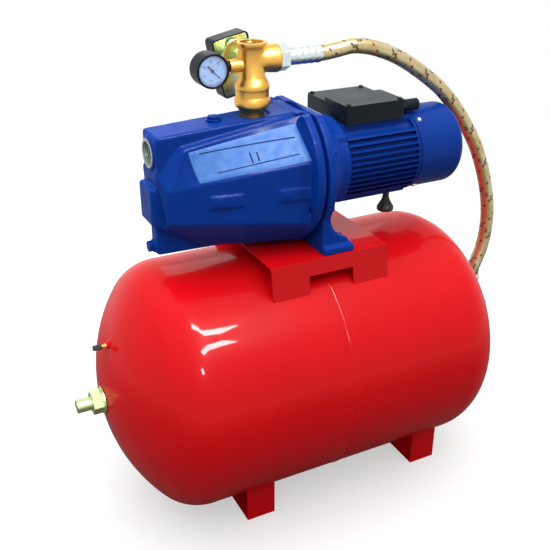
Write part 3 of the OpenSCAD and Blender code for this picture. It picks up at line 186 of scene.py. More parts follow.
def make_materials(colours):
    """All the finishes, by a short key."""
    red, blue = tuple(colours.tank) + (1.0,), tuple(colours.pump) + (1.0,)
    brass = tuple(colours.brass) + (1.0,)
    made = {}
    # Powder coat baked on drawn steel: deep red, wet gloss and a faint orange peel.
    made["tank_red"] = shade(
        "powder_coated_drawn_steel", red, darker(red, 0.86), 90, 0.3, 0.03, 3.2, 0.03,
        Coat_Weight=0.22, Coat_Roughness=0.03, Specular_IOR_Level=0.04)
    # Enamel brushed over sand-cast iron: the sand's pebbles show through the gloss. The
    # pebbles are about 0.5 mm, and are drawn coarser so that they show.
    made["cast_blue"] = shade(
        "enamelled_sand_cast_iron", blue, darker(blue, 0.78), 22, 0.42, 0.06, 1.6, 0.2,
        Coat_Weight=0.08, Coat_Roughness=0.15, Specular_IOR_Level=0.03)
    # The same enamel sprayed on extruded aluminium: smoother and a little flatter. Its blue
    # is the pump's enamel at 0.8, as painted shade.
    made["frame_blue"] = shade(
        "shaded_enamelled_extruded_aluminium", darker(blue, 0.8), darker(blue, 0.62), 40, 0.36,
        0.05, 1.0, 0.05, Coat_Weight=0.1, Coat_Roughness=0.18, Specular_IOR_Level=0.03)
    # Sprayed on pressed steel: smooth with long soft highlights. Its blue is the pump's
    # enamel at 0.85, as painted shade.
    made["cover_blue"] = shade(
        "shaded_enamelled_pressed_steel", darker(blue, 0.85), darker(blue, 0.72), 60, 0.34,
        0.04, 2.4, 0.04, Coat_Weight=0.14, Coat_Roughness=0.1, Specular_IOR_Level=0.03)
    # Bare machined face of the casting: pale grey-green with fine turning marks.
    made["machined_iron"] = shade(
        "machined_cast_iron", linear("a9bab2"), linear("8a9c96"), 7, 0.38, 0.06, 0.6,
        0.03, Metallic=0.85)
    # Hot-forged brass, shot blasted: warm, satin, with an even grain. The shot leaves
    # pits of about 0.3 mm, and they are drawn coarser so that they show.
    made["brass"] = shade(
        "blasted_forged_brass", brass, darker(brass, 0.8), 14, 0.36, 0.05, 1.0, 0.03,
        Metallic=1.0)
    # Turned brass: brighter and smoother than the forged skin beside it.
    made["turned_brass"] = shade(
        "turned_brass", linear("e8b25c"), linear("c98f3e"), 6, 0.2, 0.04, 0.5, 0.012,
        Metallic=1.0)
    # Blue passivated zinc on steel: cool, slightly cloudy, with a cast of sea green.
    made["zinc"] = shade(
        "blue_passivated_zinc", linear("eef4f2"), linear("c2d6d6"), 14, 0.26, 0.05, 1.6,
        0.01, Metallic=1.0)
    # Yellow passivated zinc: straw with green and pink clouds.
    made["zinc_yellow"] = shade(
        "yellow_passivated_zinc", linear("f6e9a2"), linear("a2dcae"), 11, 0.28, 0.05, 1.6,
        0.01, Metallic=1.0)
    # Ground steel shaft.
    made["steel"] = shade(
        "ground_carbon_steel", linear("a7a9ac"), linear("8a8d92"), 8, 0.3, 0.05, 0.5,
        0.01, Metallic=1.0)
    # Die-cast aluminium: pale and dull.
    made["aluminium"] = shade(
        "die_cast_aluminium", linear("b4b7ba"), linear("93979b"), 12, 0.45, 0.06, 1.0,
        0.05, Metallic=1.0)
    # Moulded rubber: near black, soft sheen, dusty in patches.
    made["rubber"] = shade(
        "moulded_epdm_rubber", linear("17181a"), linear("24262a"), 18, 0.62, 0.08, 0.9,
        0.05)
    # Polished ABS: near black with a green cast and a soft gloss.
    made["abs_black"] = shade(
        "polished_moulded_abs", linear("182229"), linear("222c30"), 30, 0.36, 0.05, 0.9,
        0.03, Specular_IOR_Level=0.08)
    # Glass-filled plastic of the inner parts.
    made["plastic_inner"] = shade(
        "glass_filled_moulded_nylon", linear("2c2f32"), linear("3a3e42"), 16, 0.5, 0.06,
        0.8, 0.05)
    # Natural nylon.
    made["nylon"] = shade(
        "natural_moulded_nylon", linear("e6e4dc"), linear("d8d5c8"), 20, 0.42, 0.05,
        1.2, 0.03)
    # Varnished copper and laminations.
    made["winding"] = shade(
        "varnished_copper_winding", linear("a8613a"), linear("6e4a38"), 4, 0.35, 0.08,
        1.0, 0.2, Metallic=0.6)
    # Painted dial: pale blue and flat.
    made["dial"] = shade(
        "stove_painted_aluminium_dial", linear("a9c9f6"), linear("9dbdf0"), 20, 0.45,
        0.04, 1.0, 0.01)
    # Black ink of the scale and lacquer of the needle.
    made["ink"] = shade(
        "black_dial_ink", linear("10141c"), linear("1a202a"), 5, 0.5, 0.05, 1.0, 0.002)
    # Clear moulded window.
    made["lens"] = shade(
        "clear_moulded_polycarbonate", linear("ffffff"), linear("f4f8ff"), 30, 0.04, 0.01,
        6.0, 0.01, Transmission_Weight=1.0, IOR=1.58)
    # Foil plate: light blue anodised aluminium, slightly mottled by its etching.
    made["plate"] = shade(
        "anodised_etched_aluminium", linear("66a8f8"), linear("3670dc"), 12, 0.5, 0.06,
        1.4, 0.08, Specular_IOR_Level=0.2)
    # Lines of the plate in dark blue lacquer, flat and a little soft.
    made["plate_line"] = shade(
        "lacquer_filled_aluminium", linear("123a86"), linear("0d2c6a"), 8, 0.6, 0.05, 1.0,
        0.02, Specular_IOR_Level=0.1)
    # Tinned wire, five to a ribbon: silver with straw and olive tarnish, shining.
    made["braid"] = shade(
        "tinned_wire_braid", linear("e6dab0"), linear("b09a58"), 24, 0.32, 0.05, 1.2,
        0.01, Metallic=0.8)
    # Nylon tracer yarns laid into the braid.
    for key, code, dark in (("tracer_red", "b23a52", "8c2c40"),
                            ("tracer_green", "5c8f5e", "3f6d48"),
                            ("tracer_brown", "8a5a34", "6b4426")):
        made[key] = shade(key + "_nylon_yarn", linear(code), linear(dark), 9, 0.55, 0.06,
                          0.8, 0.02)
    # Lapped ceramic.
    made["ceramic"] = shade(
        "lapped_ceramic", linear("dcdcd2"), linear("cfcfc4"), 10, 0.2, 0.03, 2.0, 0.005)
    return made


# Meshes.

def new_piece(name, mesh, materials, body):
    """Object at the origin that rides on a body, with the given materials."""
    piece = bpy.data.objects.new(name, mesh)
    bpy.context.scene.collection.objects.link(piece)
    for material in materials:
        mesh.materials.append(material)
    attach(piece, body)
    return piece


def mesh_from(name, points, faces, smooth=True):
    """Mesh from points in millimetres."""
    mesh = bpy.data.meshes.new(name)
    mesh.from_pydata([tuple(c * MM for c in p) for p in points], [], faces)
    mesh.validate()
    for polygon in mesh.polygons:
        polygon.use_smooth = smooth
    return mesh


def grid_faces(rows, columns, closed=False):
    """Quads of a grid of points listed row by row; closed joins the last column on."""
    found = []
    for i in range(rows - 1):
        for j in range(columns if closed else columns - 1):
            on = (j + 1) % columns
            found.append((i * columns + j, i * columns + on, (i + 1) * columns + on,
                          (i + 1) * columns + j))
    return found


def turned(name, profile, steps, place, axis="X", wave=None, flip=False):
    """Mesh of a profile of (along, radius) turned round an axis through place, in mm.

    wave, where given, adds to the radius at each (along, radius, turn). The faces look
    away from the axis where along grows, and towards it with flip.
    """
    points = []
    for along, radius in profile:
        for k in range(steps):
            turn = 2 * math.pi * k / steps
            r = radius + (wave(along, radius, turn) if wave else 0.0)
            u, v = r * math.cos(turn), r * math.sin(turn)
            offset = {"X": (along, u, v), "Y": (v, along, u), "Z": (u, v, along)}[axis]
            points.append(tuple(a + b for a, b in zip(place, offset)))
    faces = grid_faces(len(profile), steps, closed=True)
    if flip:
        faces = [face[::-1] for face in faces]
    return mesh_from(name, points, faces)


def sharpen(mesh, degrees):
    """Smooth shading with sharp edges beyond an angle."""
    bm = bmesh.new()
    bm.from_mesh(mesh)
    limit = math.radians(degrees)
    for face in bm.faces:
        face.smooth = True
    for edge in bm.edges:
        edge.smooth = len(edge.link_faces) == 2 and edge.calc_face_angle(4.0) < limit
    bm.to_mesh(mesh)
    bm.free()


def finished(nodes, material, edge_mm=0.35, degrees=34):
    """Copies of CAD nodes with flat faces cleaned up and edges broken, in their place."""
    for node in nodes:
        source = frame["nodes"][node]
        mesh = source.data.copy()
        mesh.name = node + "_finished"
        bm = bmesh.new()
        bm.from_mesh(mesh)
        bmesh.ops.remove_doubles(bm, verts=bm.verts, dist=0.004 * MM)
        bmesh.ops.dissolve_limit(bm, angle_limit=math.radians(0.6), verts=bm.verts,
                                 edges=bm.edges)
        bm.to_mesh(mesh)
        bm.free()
        mesh.materials.clear()
        piece = new_piece(node + "_finished", mesh, [material], source["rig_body"])
        sharpen(mesh, degrees)
        if edge_mm:
            bevel = piece.modifiers.new("broken_edges", "BEVEL")
            bevel.width = edge_mm * MM
            bevel.segments = 2
            bevel.limit_method = "ANGLE"
            bevel.angle_limit = math.radians(degrees)
            bevel.harden_normals = True
            bevel.use_clamp_overlap = True
        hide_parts(node)


def dressed(nodes, material):
    """CAD nodes that keep their mesh and get a better material."""
    for node in nodes:
        source = frame["nodes"][node]
        source.data.materials.clear()
        source.data.materials.append(material)


def thread(name, place, axis, length, outer, depth, pitch, material,
           inside=False):
    """Screw thread: a tube whose radius follows a blunt V along a helix, in mm.

    The V runs out over the first and last pitch.
    """
    steps, per_pitch = 72, 8
    rows = int(length / pitch * per_pitch) + 1
    profile = [(i * length / (rows - 1), outer) for i in range(rows)]

    def groove(along, radius, turn):
        phase = (along / pitch - turn / (2 * math.pi)) % 1
        fade = min(1.0, along / pitch, (length - along) / pitch)
        return -depth * min(1.0, abs(2 * phase - 1) * 1.3) * (0.25 + 0.75 * fade)

    mesh = turned(name, profile, steps, place, axis, groove, flip=inside)
    return new_piece(name, mesh, [material], UNIT)


def flank_at(u, v):
    """Points on the far sloped flank, u along it and v down it, in mm.

    Gives each point's place, its directions along and down the flank, and the normal.
    """
    a, b, c, d = (np.array(p) for p in FLANK)
    u, v = u[:, None], v[:, None]
    place = (a * (1 - u) + b * u) * (1 - v) + (d * (1 - u) + c * u) * v
    along = (b - a) * (1 - v) + (c - d) * v
    down = (d - a) * (1 - u) + (c - b) * u
    outward = np.cross(along, down)
    outward /= np.linalg.norm(outward, axis=1)[:, None]
    return place, along, down, outward


def on_flank(places):
    """Each place's u and v on the far flank, its height over it and the normal there."""
    u, v = np.full(len(places), 0.5), np.full(len(places), 0.5)
    for _ in range(6):
        foot, along, down, _ = flank_at(u, v)
        gap = places - foot
        aa, ad, dd = (along ** 2).sum(1), (along * down).sum(1), (down ** 2).sum(1)
        ga, gd = (gap * along).sum(1), (gap * down).sum(1)
        scale = aa * dd - ad * ad
        u = np.clip(u + (ga * dd - gd * ad) / scale, -0.5, 1.5)
        v = np.clip(v + (gd * aa - ga * ad) / scale, -0.5, 1.5)
    foot, _, _, outward = flank_at(u, v)
    return u, v, ((places - foot) * outward).sum(1), outward


# Settings.

class JetPumpColours(bpy.types.PropertyGroup):
    """Colours of the paints and of the brass."""

    tank: FloatVectorProperty(
        name="Tank", description="Powder coat of the tank and its supports",
        subtype="COLOR", size=3, min=0, max=1, default=linear("e60b15")[:3])
    pump: FloatVectorProperty(
        name="Pump", description="Enamel of the pump and the motor",
        subtype="COLOR", size=3, min=0, max=1, default=linear("0a42ac")[:3])
    brass: FloatVectorProperty(
        name="Brass", description="Forged fittings",
        subtype="COLOR", size=3, min=0, max=1, default=linear("f4ba5c")[:3])
    floor: FloatVectorProperty(
        name="Floor", description="Studio floor",
        subtype="COLOR", size=3, min=0, max=1, default=linear("f6f6f6")[:3])


class JetPumpSizes(bpy.types.PropertyGroup):
    """Sizes of the fine detail."""

    carriers: IntProperty(
        name="Braid ribbons", description="Ribbons of wire laid each way round the hose",
        default=16, min=8, max=32)
    hose_diameter: FloatProperty(
        name="Hose diameter", description="Outside diameter over the braid",
        subtype="DISTANCE", unit="LENGTH", default=21 * MM)
    cast_round: FloatProperty(
        name="Casting voxel", description="Grid on which the castings' edges are rounded",
        subtype="DISTANCE", unit="LENGTH", default=1.5 * MM)
    pipe_pitch: FloatProperty(
        name="Pipe thread pitch", description="Pitch of the one inch pipe thread",
        subtype="DISTANCE", unit="LENGTH", default=2.309 * MM)
    lens: FloatProperty(
        name="Camera lens", description="Focal length on a 36 mm sensor",
        default=53.39)


# Pieces.

MATERIALS = {}


class JETPUMP_OT_stage(bpy.types.Operator):
    """Camera at the photograph's angle, pale floor and soft studio light"""

    bl_idname = "jetpump.stage"
    bl_label = "Stage"

    def execute(self, context):
        scene = context.scene
        data = bpy.data.cameras.new("camera")
        data.sensor_width = 36.0
        data.lens = scene.jetpump_sizes.lens
        data.clip_start, data.clip_end = 0.05, 40.0
        camera = bpy.data.objects.new("camera", data)
        scene.collection.objects.link(camera)
        right = Vector(CAMERA_RIGHT).normalized()
        ahead = Vector(CAMERA_AHEAD).normalized()
        up = right.cross(ahead)
        x, y, z = CAMERA_PLACE
        camera.matrix_world = Matrix((
            (right.x, up.x, -ahead.x, x), (right.y, up.y, -ahead.y, y),
            (right.z, up.z, -ahead.z, z), (0, 0, 0, 1)))
        scene.camera = camera
        scene.view_settings.view_transform = "Standard"
        self.lamps(scene)
        self.floor(scene)
        self.sky(scene)
        return {"FINISHED"}

    def lamps(self, scene):
        """Two tubes under the ceiling, a small window at the front, a soft box behind."""
        for name, start, stop, depth, power in (
                ("far_tube", (-0.24, -0.55, 2.3), (0.59, -0.97, 2.3), 0.17, 44.0),
                ("near_tube", (-0.20, -1.66, 2.2), (0.66, -1.46, 2.3), 0.2, 48.0),
                ("window", (-0.72, -2.3, 1.86), (-0.48, -2.3, 1.9), 0.22, 16.0),
                ("rim", (0.1, 2.4, 1.8), (1.6, 2.0, 1.8), 0.9, 6.0)):
            data = bpy.data.lights.new(name, "AREA")
            data.shape = "RECTANGLE"
            start, stop = Vector(start), Vector(stop)
            data.size, data.size_y = (stop - start).length, depth
            data.energy = power
            lamp = bpy.data.objects.new(name, data)
            # The rim lamp and the sky light the paint; the other lamps make highlights.
            lamp.visible_diffuse = name == "rim"
            along = (stop - start).normalized()
            back = ((start + stop) / 2 - Vector(LAMP_AIM)).normalized()
            up = back.cross(along).normalized()
            back = along.cross(up)
            lamp.matrix_world = Matrix.Translation((start + stop) / 2) @ Matrix((
                along, up, back)).transposed().to_4x4()
            scene.collection.objects.link(lamp)

    def floor(self, scene):
        """Wide level floor that keeps the object's shadow and ends in plain white."""
        edge = 9000
        corners = [(-edge, -edge, 0), (edge, -edge, 0), (edge, edge, 0), (-edge, edge, 0)]
        mesh = mesh_from("studio_floor", corners, [(0, 1, 2, 3)])
        floor = bpy.data.objects.new("studio_floor", mesh)
        scene.collection.objects.link(floor)
        material = bpy.data.materials.new("matt_paper_floor")
        material.use_nodes = True
        tree = material.node_tree
        tree.nodes.clear()
        path = add(tree, "ShaderNodeLightPath").outputs
        clear = self.clear(tree, path)
        # The paper gives back less light to the object than the camera sees on it.
        colour = add(tree, "ShaderNodeMix", {
            "Factor": clear, "A": linear("6e6e6e"),
            "B": tuple(scene.jetpump_colours.floor) + (1.0,)}, data_type="RGBA")
        paper = add(tree, "ShaderNodeBsdfDiffuse", {"Color": colour.outputs["Result"]})
        glow = add(tree, "ShaderNodeEmission",
                   {"Color": (1, 1, 1, 1)}).outputs["Emission"]
        half = add(tree, "ShaderNodeMath", {0: clear, 1: 0.5}, operation="MULTIPLY")
        pale = add(tree, "ShaderNodeMixShader", {
            0: half.outputs[0], 1: paper.outputs["BSDF"], 2: glow})
        # Plain white from some way off, for reflections too.
        place = add(tree, "ShaderNodeTexCoord").outputs["Object"]
        reach = add(tree, "ShaderNodeVectorMath", {0: place}, operation="LENGTH")
        far = add(tree, "ShaderNodeMapRange", {
            "Value": reach.outputs["Value"], "From Min": 0.5, "From Max": 1.8},
            interpolation_type="SMOOTHSTEP")
        seen = add(tree, "ShaderNodeMath", {0: clear, 1: path["Is Glossy Ray"]},
                   operation="MAXIMUM")
        share = add(tree, "ShaderNodeMath", {
            0: far.outputs["Result"], 1: seen.outputs[0]}, operation="MULTIPLY")
        both = add(tree, "ShaderNodeMixShader", {
            0: share.outputs[0], 1: pale.outputs["Shader"], 2: glow})
        add(tree, "ShaderNodeOutputMaterial", {"Surface": both.outputs["Shader"]})
        mesh.materials.append(material)

    def clear(self, tree, path):
        """1 on rays that show the background plainly: the camera's and through glass."""
        return add(tree, "ShaderNodeMath", {
            0: path["Is Camera Ray"], 1: path["Is Transmission Ray"]},
            operation="MAXIMUM").outputs[0]

    def sky(self, scene):
        """Light from above, and a white backdrop behind the object, also in its gloss."""
        world = bpy.data.worlds.new("studio")
        world.use_nodes = True
        tree = world.node_tree
        tree.nodes.clear()
        path = add(tree, "ShaderNodeLightPath").outputs
        ahead = add(tree, "ShaderNodeSeparateXYZ", {
            0: add(tree, "ShaderNodeTexCoord").outputs["Generated"]}).outputs
        dome = add(tree, "ShaderNodeMapRange", {
            "Value": ahead["Z"], "From Min": 0.25, "To Min": 0.2, "To Max": 2.7},
            interpolation_type="SMOOTHSTEP")
        backdrop = add(tree, "ShaderNodeMapRange", {
            "Value": ahead["Y"], "From Min": -0.6, "From Max": 0.3, "To Min": 0.9},
            interpolation_type="SMOOTHSTEP")
        lit = add(tree, "ShaderNodeMix", {
            "Factor": path["Is Glossy Ray"], "A": dome.outputs["Result"],
            "B": backdrop.outputs["Result"]})
        strength = add(tree, "ShaderNodeMix", {
            "Factor": self.clear(tree, path), "A": lit.outputs["Result"], "B": 1.0})
        light = add(tree, "ShaderNodeBackground", {
            "Color": linear("ffffff"), "Strength": strength.outputs["Result"]})
        add(tree, "ShaderNodeOutputWorld", {"Surface": light.outputs["Background"]})
        scene.world = world


class JETPUMP_OT_hose(bpy.types.Operator):
    """Braided hose: a rubber tube under ribbons of wire laid over and under each other"""

    bl_idname = "jetpump.hose"
    bl_label = "Braided hose"

    def execute(self, context):
        sizes = context.scene.jetpump_sizes
        route = np.array(HOSE_POINTS, float)
        line = self.rounded(route)
        steps = np.linalg.norm(np.diff(line, axis=0), axis=1)
        run = np.concatenate([[0], np.cumsum(steps)])
        length = run[-1]
        outer = sizes.hose_diameter / MM / 2
        points, faces, slots = [], [], []

        # The line goes on straight past both ends, for the slanted ribbon ends.
        past = 5.0
        start = line[0] - (line[1] - line[0]) / steps[0] * past
        stop = line[-1] + (line[-1] - line[-2]) / steps[-1] * past
        long_line = np.vstack([start, line, stop])
        long_run = np.concatenate([[-past], run, [length + past]])

        def frame_at(s):
            """Centre and direction across the hose, in its plane, at distances s."""
            (x, x_on, x_back), (z, z_on, z_back) = (
                [np.interp(s + step, long_run, long_line[:, k]) for step in (0, 1, -1)]
                for k in (0, 1))
            dx, dz = x_on - x_back, z_on - z_back
            size = np.hypot(dx, dz)
            side = np.stack([-dz / size, np.zeros_like(dx), dx / size], axis=-1)
            return np.stack([x, np.zeros_like(x), z], axis=-1), side

        def lay(s, turn, radius):
            """Points on a cylinder of that radius that follows the hose."""
            centre, side = frame_at(s)
            across = np.array([0.0, 1.0, 0.0])
            return (centre + side * (radius * np.cos(turn))[..., None]
                    + across * (radius * np.sin(turn))[..., None])

        def add_grid(cells, slot, closed):
            """Add a sheet of points to the mesh, its faces looking away from the hose."""
            rows, columns = cells.shape[:2]
            base = len(points)
            points.extend(map(tuple, cells.reshape(-1, 3)))
            made = grid_faces(rows, columns, closed)
            faces.extend(tuple(base + i for i in face[::-1]) for face in made)
            slots.extend([slot] * len(made))

        # How deep the tube and the ribbons' middle lie, and the ribbons' weave and arch.
        tube_depth, ribbon_depth, weave, arch = 0.85, 0.42, 0.22, 0.1

        # Rubber tube that shows between the ribbons.
        rings, sides = 150, 32
        s = np.linspace(0, length, rings)[:, None] * np.ones((1, sides))
        turn = np.ones((rings, 1)) * np.linspace(0, 2 * math.pi, sides, endpoint=False)
        add_grid(lay(s, turn, np.full(s.shape, outer - tube_depth)), 1, True)

        # Ribbons: over two, under two, at 45 degrees to the hose.
        ribbons = sizes.carriers
        lead = 2 * math.pi * outer
        rows_per_crossing, share_covered = 2.2, 0.9
        samples = int(length / lead * ribbons * 2 * rows_per_crossing)
        half_width = math.pi * outer / ribbons * share_covered
        across = np.linspace(-1, 1, 5)
        crown = arch * (1 - across ** 2)
        for way in (1, -1):
            for k in range(ribbons):
                s = np.linspace(0, length, samples)
                crossing = 2 * s / lead * ribbons
                phase = (crossing + 2 * k) if way > 0 else (2 * k - crossing)
                lift = way * np.sin(math.pi / 2 * phase + math.pi / 4)
                # A ribbon lies flat on top and below, and is steeper between.
                lift = np.clip(1.35 * lift, -1, 1)
                turn = 2 * math.pi * (k / ribbons + way * s / lead)
                # Across the ribbon, at right angles to its helix.
                shift = across[None, :] * half_width * math.sqrt(0.5)
                cells = lay(s[:, None] - way * shift * np.ones_like(s)[:, None],
                            turn[:, None] + shift / outer,
                            outer - ribbon_depth + weave * lift[:, None]
                            + crown[None, :])
                tracer = {(1, 0): 2, (1, 1): 3, (-1, 0): 2, (-1, 8): 4}.get((way, k), 0)
                add_grid(cells, tracer, False)
        mesh = mesh_from("hose_braid", points, faces)
        mesh.polygons.foreach_set("material_index", slots)
        names = ("braid", "rubber", "tracer_red", "tracer_green", "tracer_brown")
        hose = new_piece("hose_braid", mesh, [MATERIALS[n] for n in names], UNIT)
        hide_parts("hose")
        self.sleeves()
        finished(["hose_nuts"], MATERIALS["zinc"], 0.6)
        return {"FINISHED"}

    def sleeves(self):
        """Sleeves crimped over the hose's ends: a neck, fine rings and the crimps."""
        (x, z), (far_x, far_z) = HOSE_POINTS[0], HOSE_POINTS[-1]
        neck_r, ring_r, ring_depth, ring_pitch = 10.6, 11.3, 0.45, 2.6
        crimp_r, crimp_height, crimp_pitch = 10.9, 1.1, 9.4
        rows = 120
        for name, axis, start, length, place in (
                ("hose_sleeve_upper", "X", x - UPPER_SLEEVE, UPPER_SLEEVE, (0, 0, z)),
                ("hose_sleeve_lower", "Z", far_z - LOWER_SLEEVE, LOWER_SLEEVE,
                 (far_x, 0, 0))):
            neck, rings = length * 0.1, length * 0.26
            crimps = round((length - rings) / crimp_pitch)
            profile = [(0, 1.0), (0, 9.8), (0.4, 10.4)]
            for i in range(rows + 1):
                along = 0.8 + (length - 1.4) * i / rows
                if along < neck:
                    radius = neck_r
                elif along < rings:
                    turn = 2 * math.pi * (along - neck) / ring_pitch
                    radius = ring_r + ring_depth * math.cos(turn)
                else:
                    turn = (along - rings) / (length - rings) * crimps
                    radius = (crimp_r
                              + crimp_height * abs(math.sin(math.pi * turn)) ** 0.55)
                profile.append((along, radius))
            profile += [(length - 0.2, 10.9), (length, 10.6), (length, 9.0)]
            profile = [(start + along, radius) for along, radius in profile]
            mesh = turned(name, profile, 96, place, axis)
            sleeve = new_piece(name, mesh, [MATERIALS["zinc"]], UNIT)
            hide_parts("hose_ferrules")

    def rounded(self, route):
        """Smooth curve through the route's points, eight steps to a stretch."""
        ends = np.vstack([2 * route[0] - route[1], route, 2 * route[-1] - route[-2]])
        found = []
        for i in range(1, len(ends) - 2):
            a, b, c, d = ends[i - 1:i + 3]
            for t in np.linspace(0, 1, 8, endpoint=False):
                found.append(0.5 * (2 * b + (c - a) * t
                                    + (2 * a - 5 * b + 4 * c - d) * t ** 2
                                    + (3 * b - a - 3 * c + d) * t ** 3))
        return np.array(found + [route[-1]])


class JETPUMP_OT_tank(bpy.types.Operator):
    """Two drawn shells with the weld between them"""

    bl_idname = "jetpump.tank"
    bl_label = "Tank"

    def execute(self, context):
        rise = ((TANK_R - KNUCKLE_R) ** 2 - (DOME_DEPTH - KNUCKLE_R) ** 2) / (
            2 * (DOME_DEPTH - KNUCKLE_R))
        lean = math.atan2(TANK_R - KNUCKLE_R, rise)
        crown_r = DOME_DEPTH + rise
        straight_rows, knuckle_rows, crown_rows = 12, 30, 29
        outline = [(0.0, TANK_R), (0.6, TANK_R)]
        outline += [(HALF_STRAIGHT * i / straight_rows, TANK_R)
                    for i in range(1, straight_rows + 1)]
        for i in range(1, knuckle_rows + 1):
            a = math.radians(90) + (lean - math.radians(90)) * i / knuckle_rows
            outline.append((HALF_STRAIGHT + KNUCKLE_R * math.cos(a),
                            TANK_R - KNUCKLE_R + KNUCKLE_R * math.sin(a)))
        for i in range(1, crown_rows):
            a = lean * (1 - i / crown_rows)
            outline.append((HALF_STRAIGHT - rise + crown_r * math.cos(a),
                            crown_r * math.sin(a)))
        outline.append((HALF_STRAIGHT + DOME_DEPTH, 0.02))
        red = MATERIALS["tank_red"]
        for side, node in ((-1, "tank_shell_left"), (1, "tank_shell_right")):
            profile = [(side * along, radius) for along, radius in outline]
            mesh = turned(node + "_drawn", profile, 192, (SEAM_X, 0, TANK_Z),
                          flip=side < 0)
            shell = new_piece(node + "_drawn", mesh, [red], UNIT)
            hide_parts(node)
        bead = [(-3.2, TANK_R - 0.3), (-2.2, TANK_R + 0.15), (-1.1, TANK_R + 0.55),
                (0, TANK_R + 0.68), (1.1, TANK_R + 0.55), (2.2, TANK_R + 0.15),
                (3.2, TANK_R - 0.3)]

        def ripple(along, radius, turn):
            """300 low ripples round the bead, bent as a weld pool leaves them."""
            return 0.09 * math.sin(turn * 300 - abs(along) * 1.2) * (radius > TANK_R)

        mesh = turned("seam_weld_bead", bead, 1500, (SEAM_X, 0, TANK_Z), wave=ripple)
        weld = new_piece("seam_weld_bead", mesh, [red], UNIT)
        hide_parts("seam_weld")
        return {"FINISHED"}


class JETPUMP_OT_supports(bpy.types.Operator):
    """Feet and platform, the flange ring and counter flange, and the bladder inside"""

    bl_idname = "jetpump.supports"
    bl_label = "Supports"

    def execute(self, context):
        red = MATERIALS["tank_red"]
        finished(["foot_left", "foot_right", "pump_platform", "neck_ring"], red,
                 0.8)
        finished(["counter_flange", "flange_bolts"], MATERIALS["zinc"], 0.5)
        dressed(["bladder"], MATERIALS["rubber"])
        return {"FINISHED"}


class JETPUMP_OT_tank_fittings(bpy.types.Operator):
    """Elbow, tail stud with its nut, and the air valve with its cap"""

    bl_idname = "jetpump.tank_fittings"
    bl_label = "Tank fittings"

    def execute(self, context):
        finished(["tank_elbow"], MATERIALS["brass"], 0.5)
        finished(["tail_stud", "tail_nut"], MATERIALS["zinc_yellow"], 0.5)
        self.air_valve()
        thread("tail_stud_thread", (STUD_END_X, 0, TANK_Z), "X", length=20,
               outer=STUD_THREAD_R, depth=0.9, pitch=1.8,
               material=MATERIALS["zinc_yellow"])
        return {"FINISHED"}

    def air_valve(self):
        """Slim tyre valve: stem with its thread, welded collar and ribbed cap."""
        place = (0, 0, AIR_VALVE_Z)
        stem = [(-330.2, 1.8), (-330.2, 2.9)]
        stem += [(-329.8 + i * 0.15, 3.05) for i in range(43)]
        stem += [(-322.8, 3.5), (-321.4, 3.5), (-321, 3.2), (-312, 3.2)]

        def screw(along, radius, turn):
            """Thread of 0.9 mm pitch on the stem's outer part."""
            return 0.14 * math.sin(2 * math.pi * along / 0.9 + turn) * (along < -323.5)

        collar = [(-321.2, 3.1), (-321.4, 4.0), (-320.4, 4.7), (-318.8, 5.1),
                  (-317.4, 5.8), (-316.2, 6.8), (-314.5, 7.8)]

        def bead(along, radius, turn):
            """Nine low lumps round the weld's foot."""
            return 0.2 * math.sin(9 * turn) * (radius > 5)

        cap = [(-339.5, 0.02), (-339.5, 2.6), (-339.1, 3.3), (-338.4, 3.6)]
        cap += [(-338 + i * 0.5, 3.65) for i in range(20)]
        cap += [(-328, 3.8), (-327.6, 3.6), (-327.6, 3.2), (-329, 3.1)]

        def ribs(along, radius, turn):
            """Twenty ribs along the cap's grip, running out at both ends."""
            held = min(1.0, max(0.0, (along + 338.6) / 1.2),
                       max(0.0, (-328.6 - along) / 1.2))
            return 0.22 * held * math.cos(20 * turn)

        cap_body = frame["nodes"]["air_valve_cap"]["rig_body"]
        for name, outline, steps, wave, material, body, slot, node in (
                ("air_valve_stem", stem, 48, screw, "brass", UNIT, "brass", "air_valve"),
                ("air_valve_weld", collar, 64, bead, "tank_red", UNIT, "tank_red",
                 "air_valve"),
                ("air_valve_cap_ribbed", cap, 160, ribs, "rubber", cap_body,
                 "rubber_black", "air_valve_cap")):
            mesh = turned(name, outline, steps, place, wave=wave)
            piece = new_piece(name, mesh, [MATERIALS[material]], body)
            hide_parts(node)


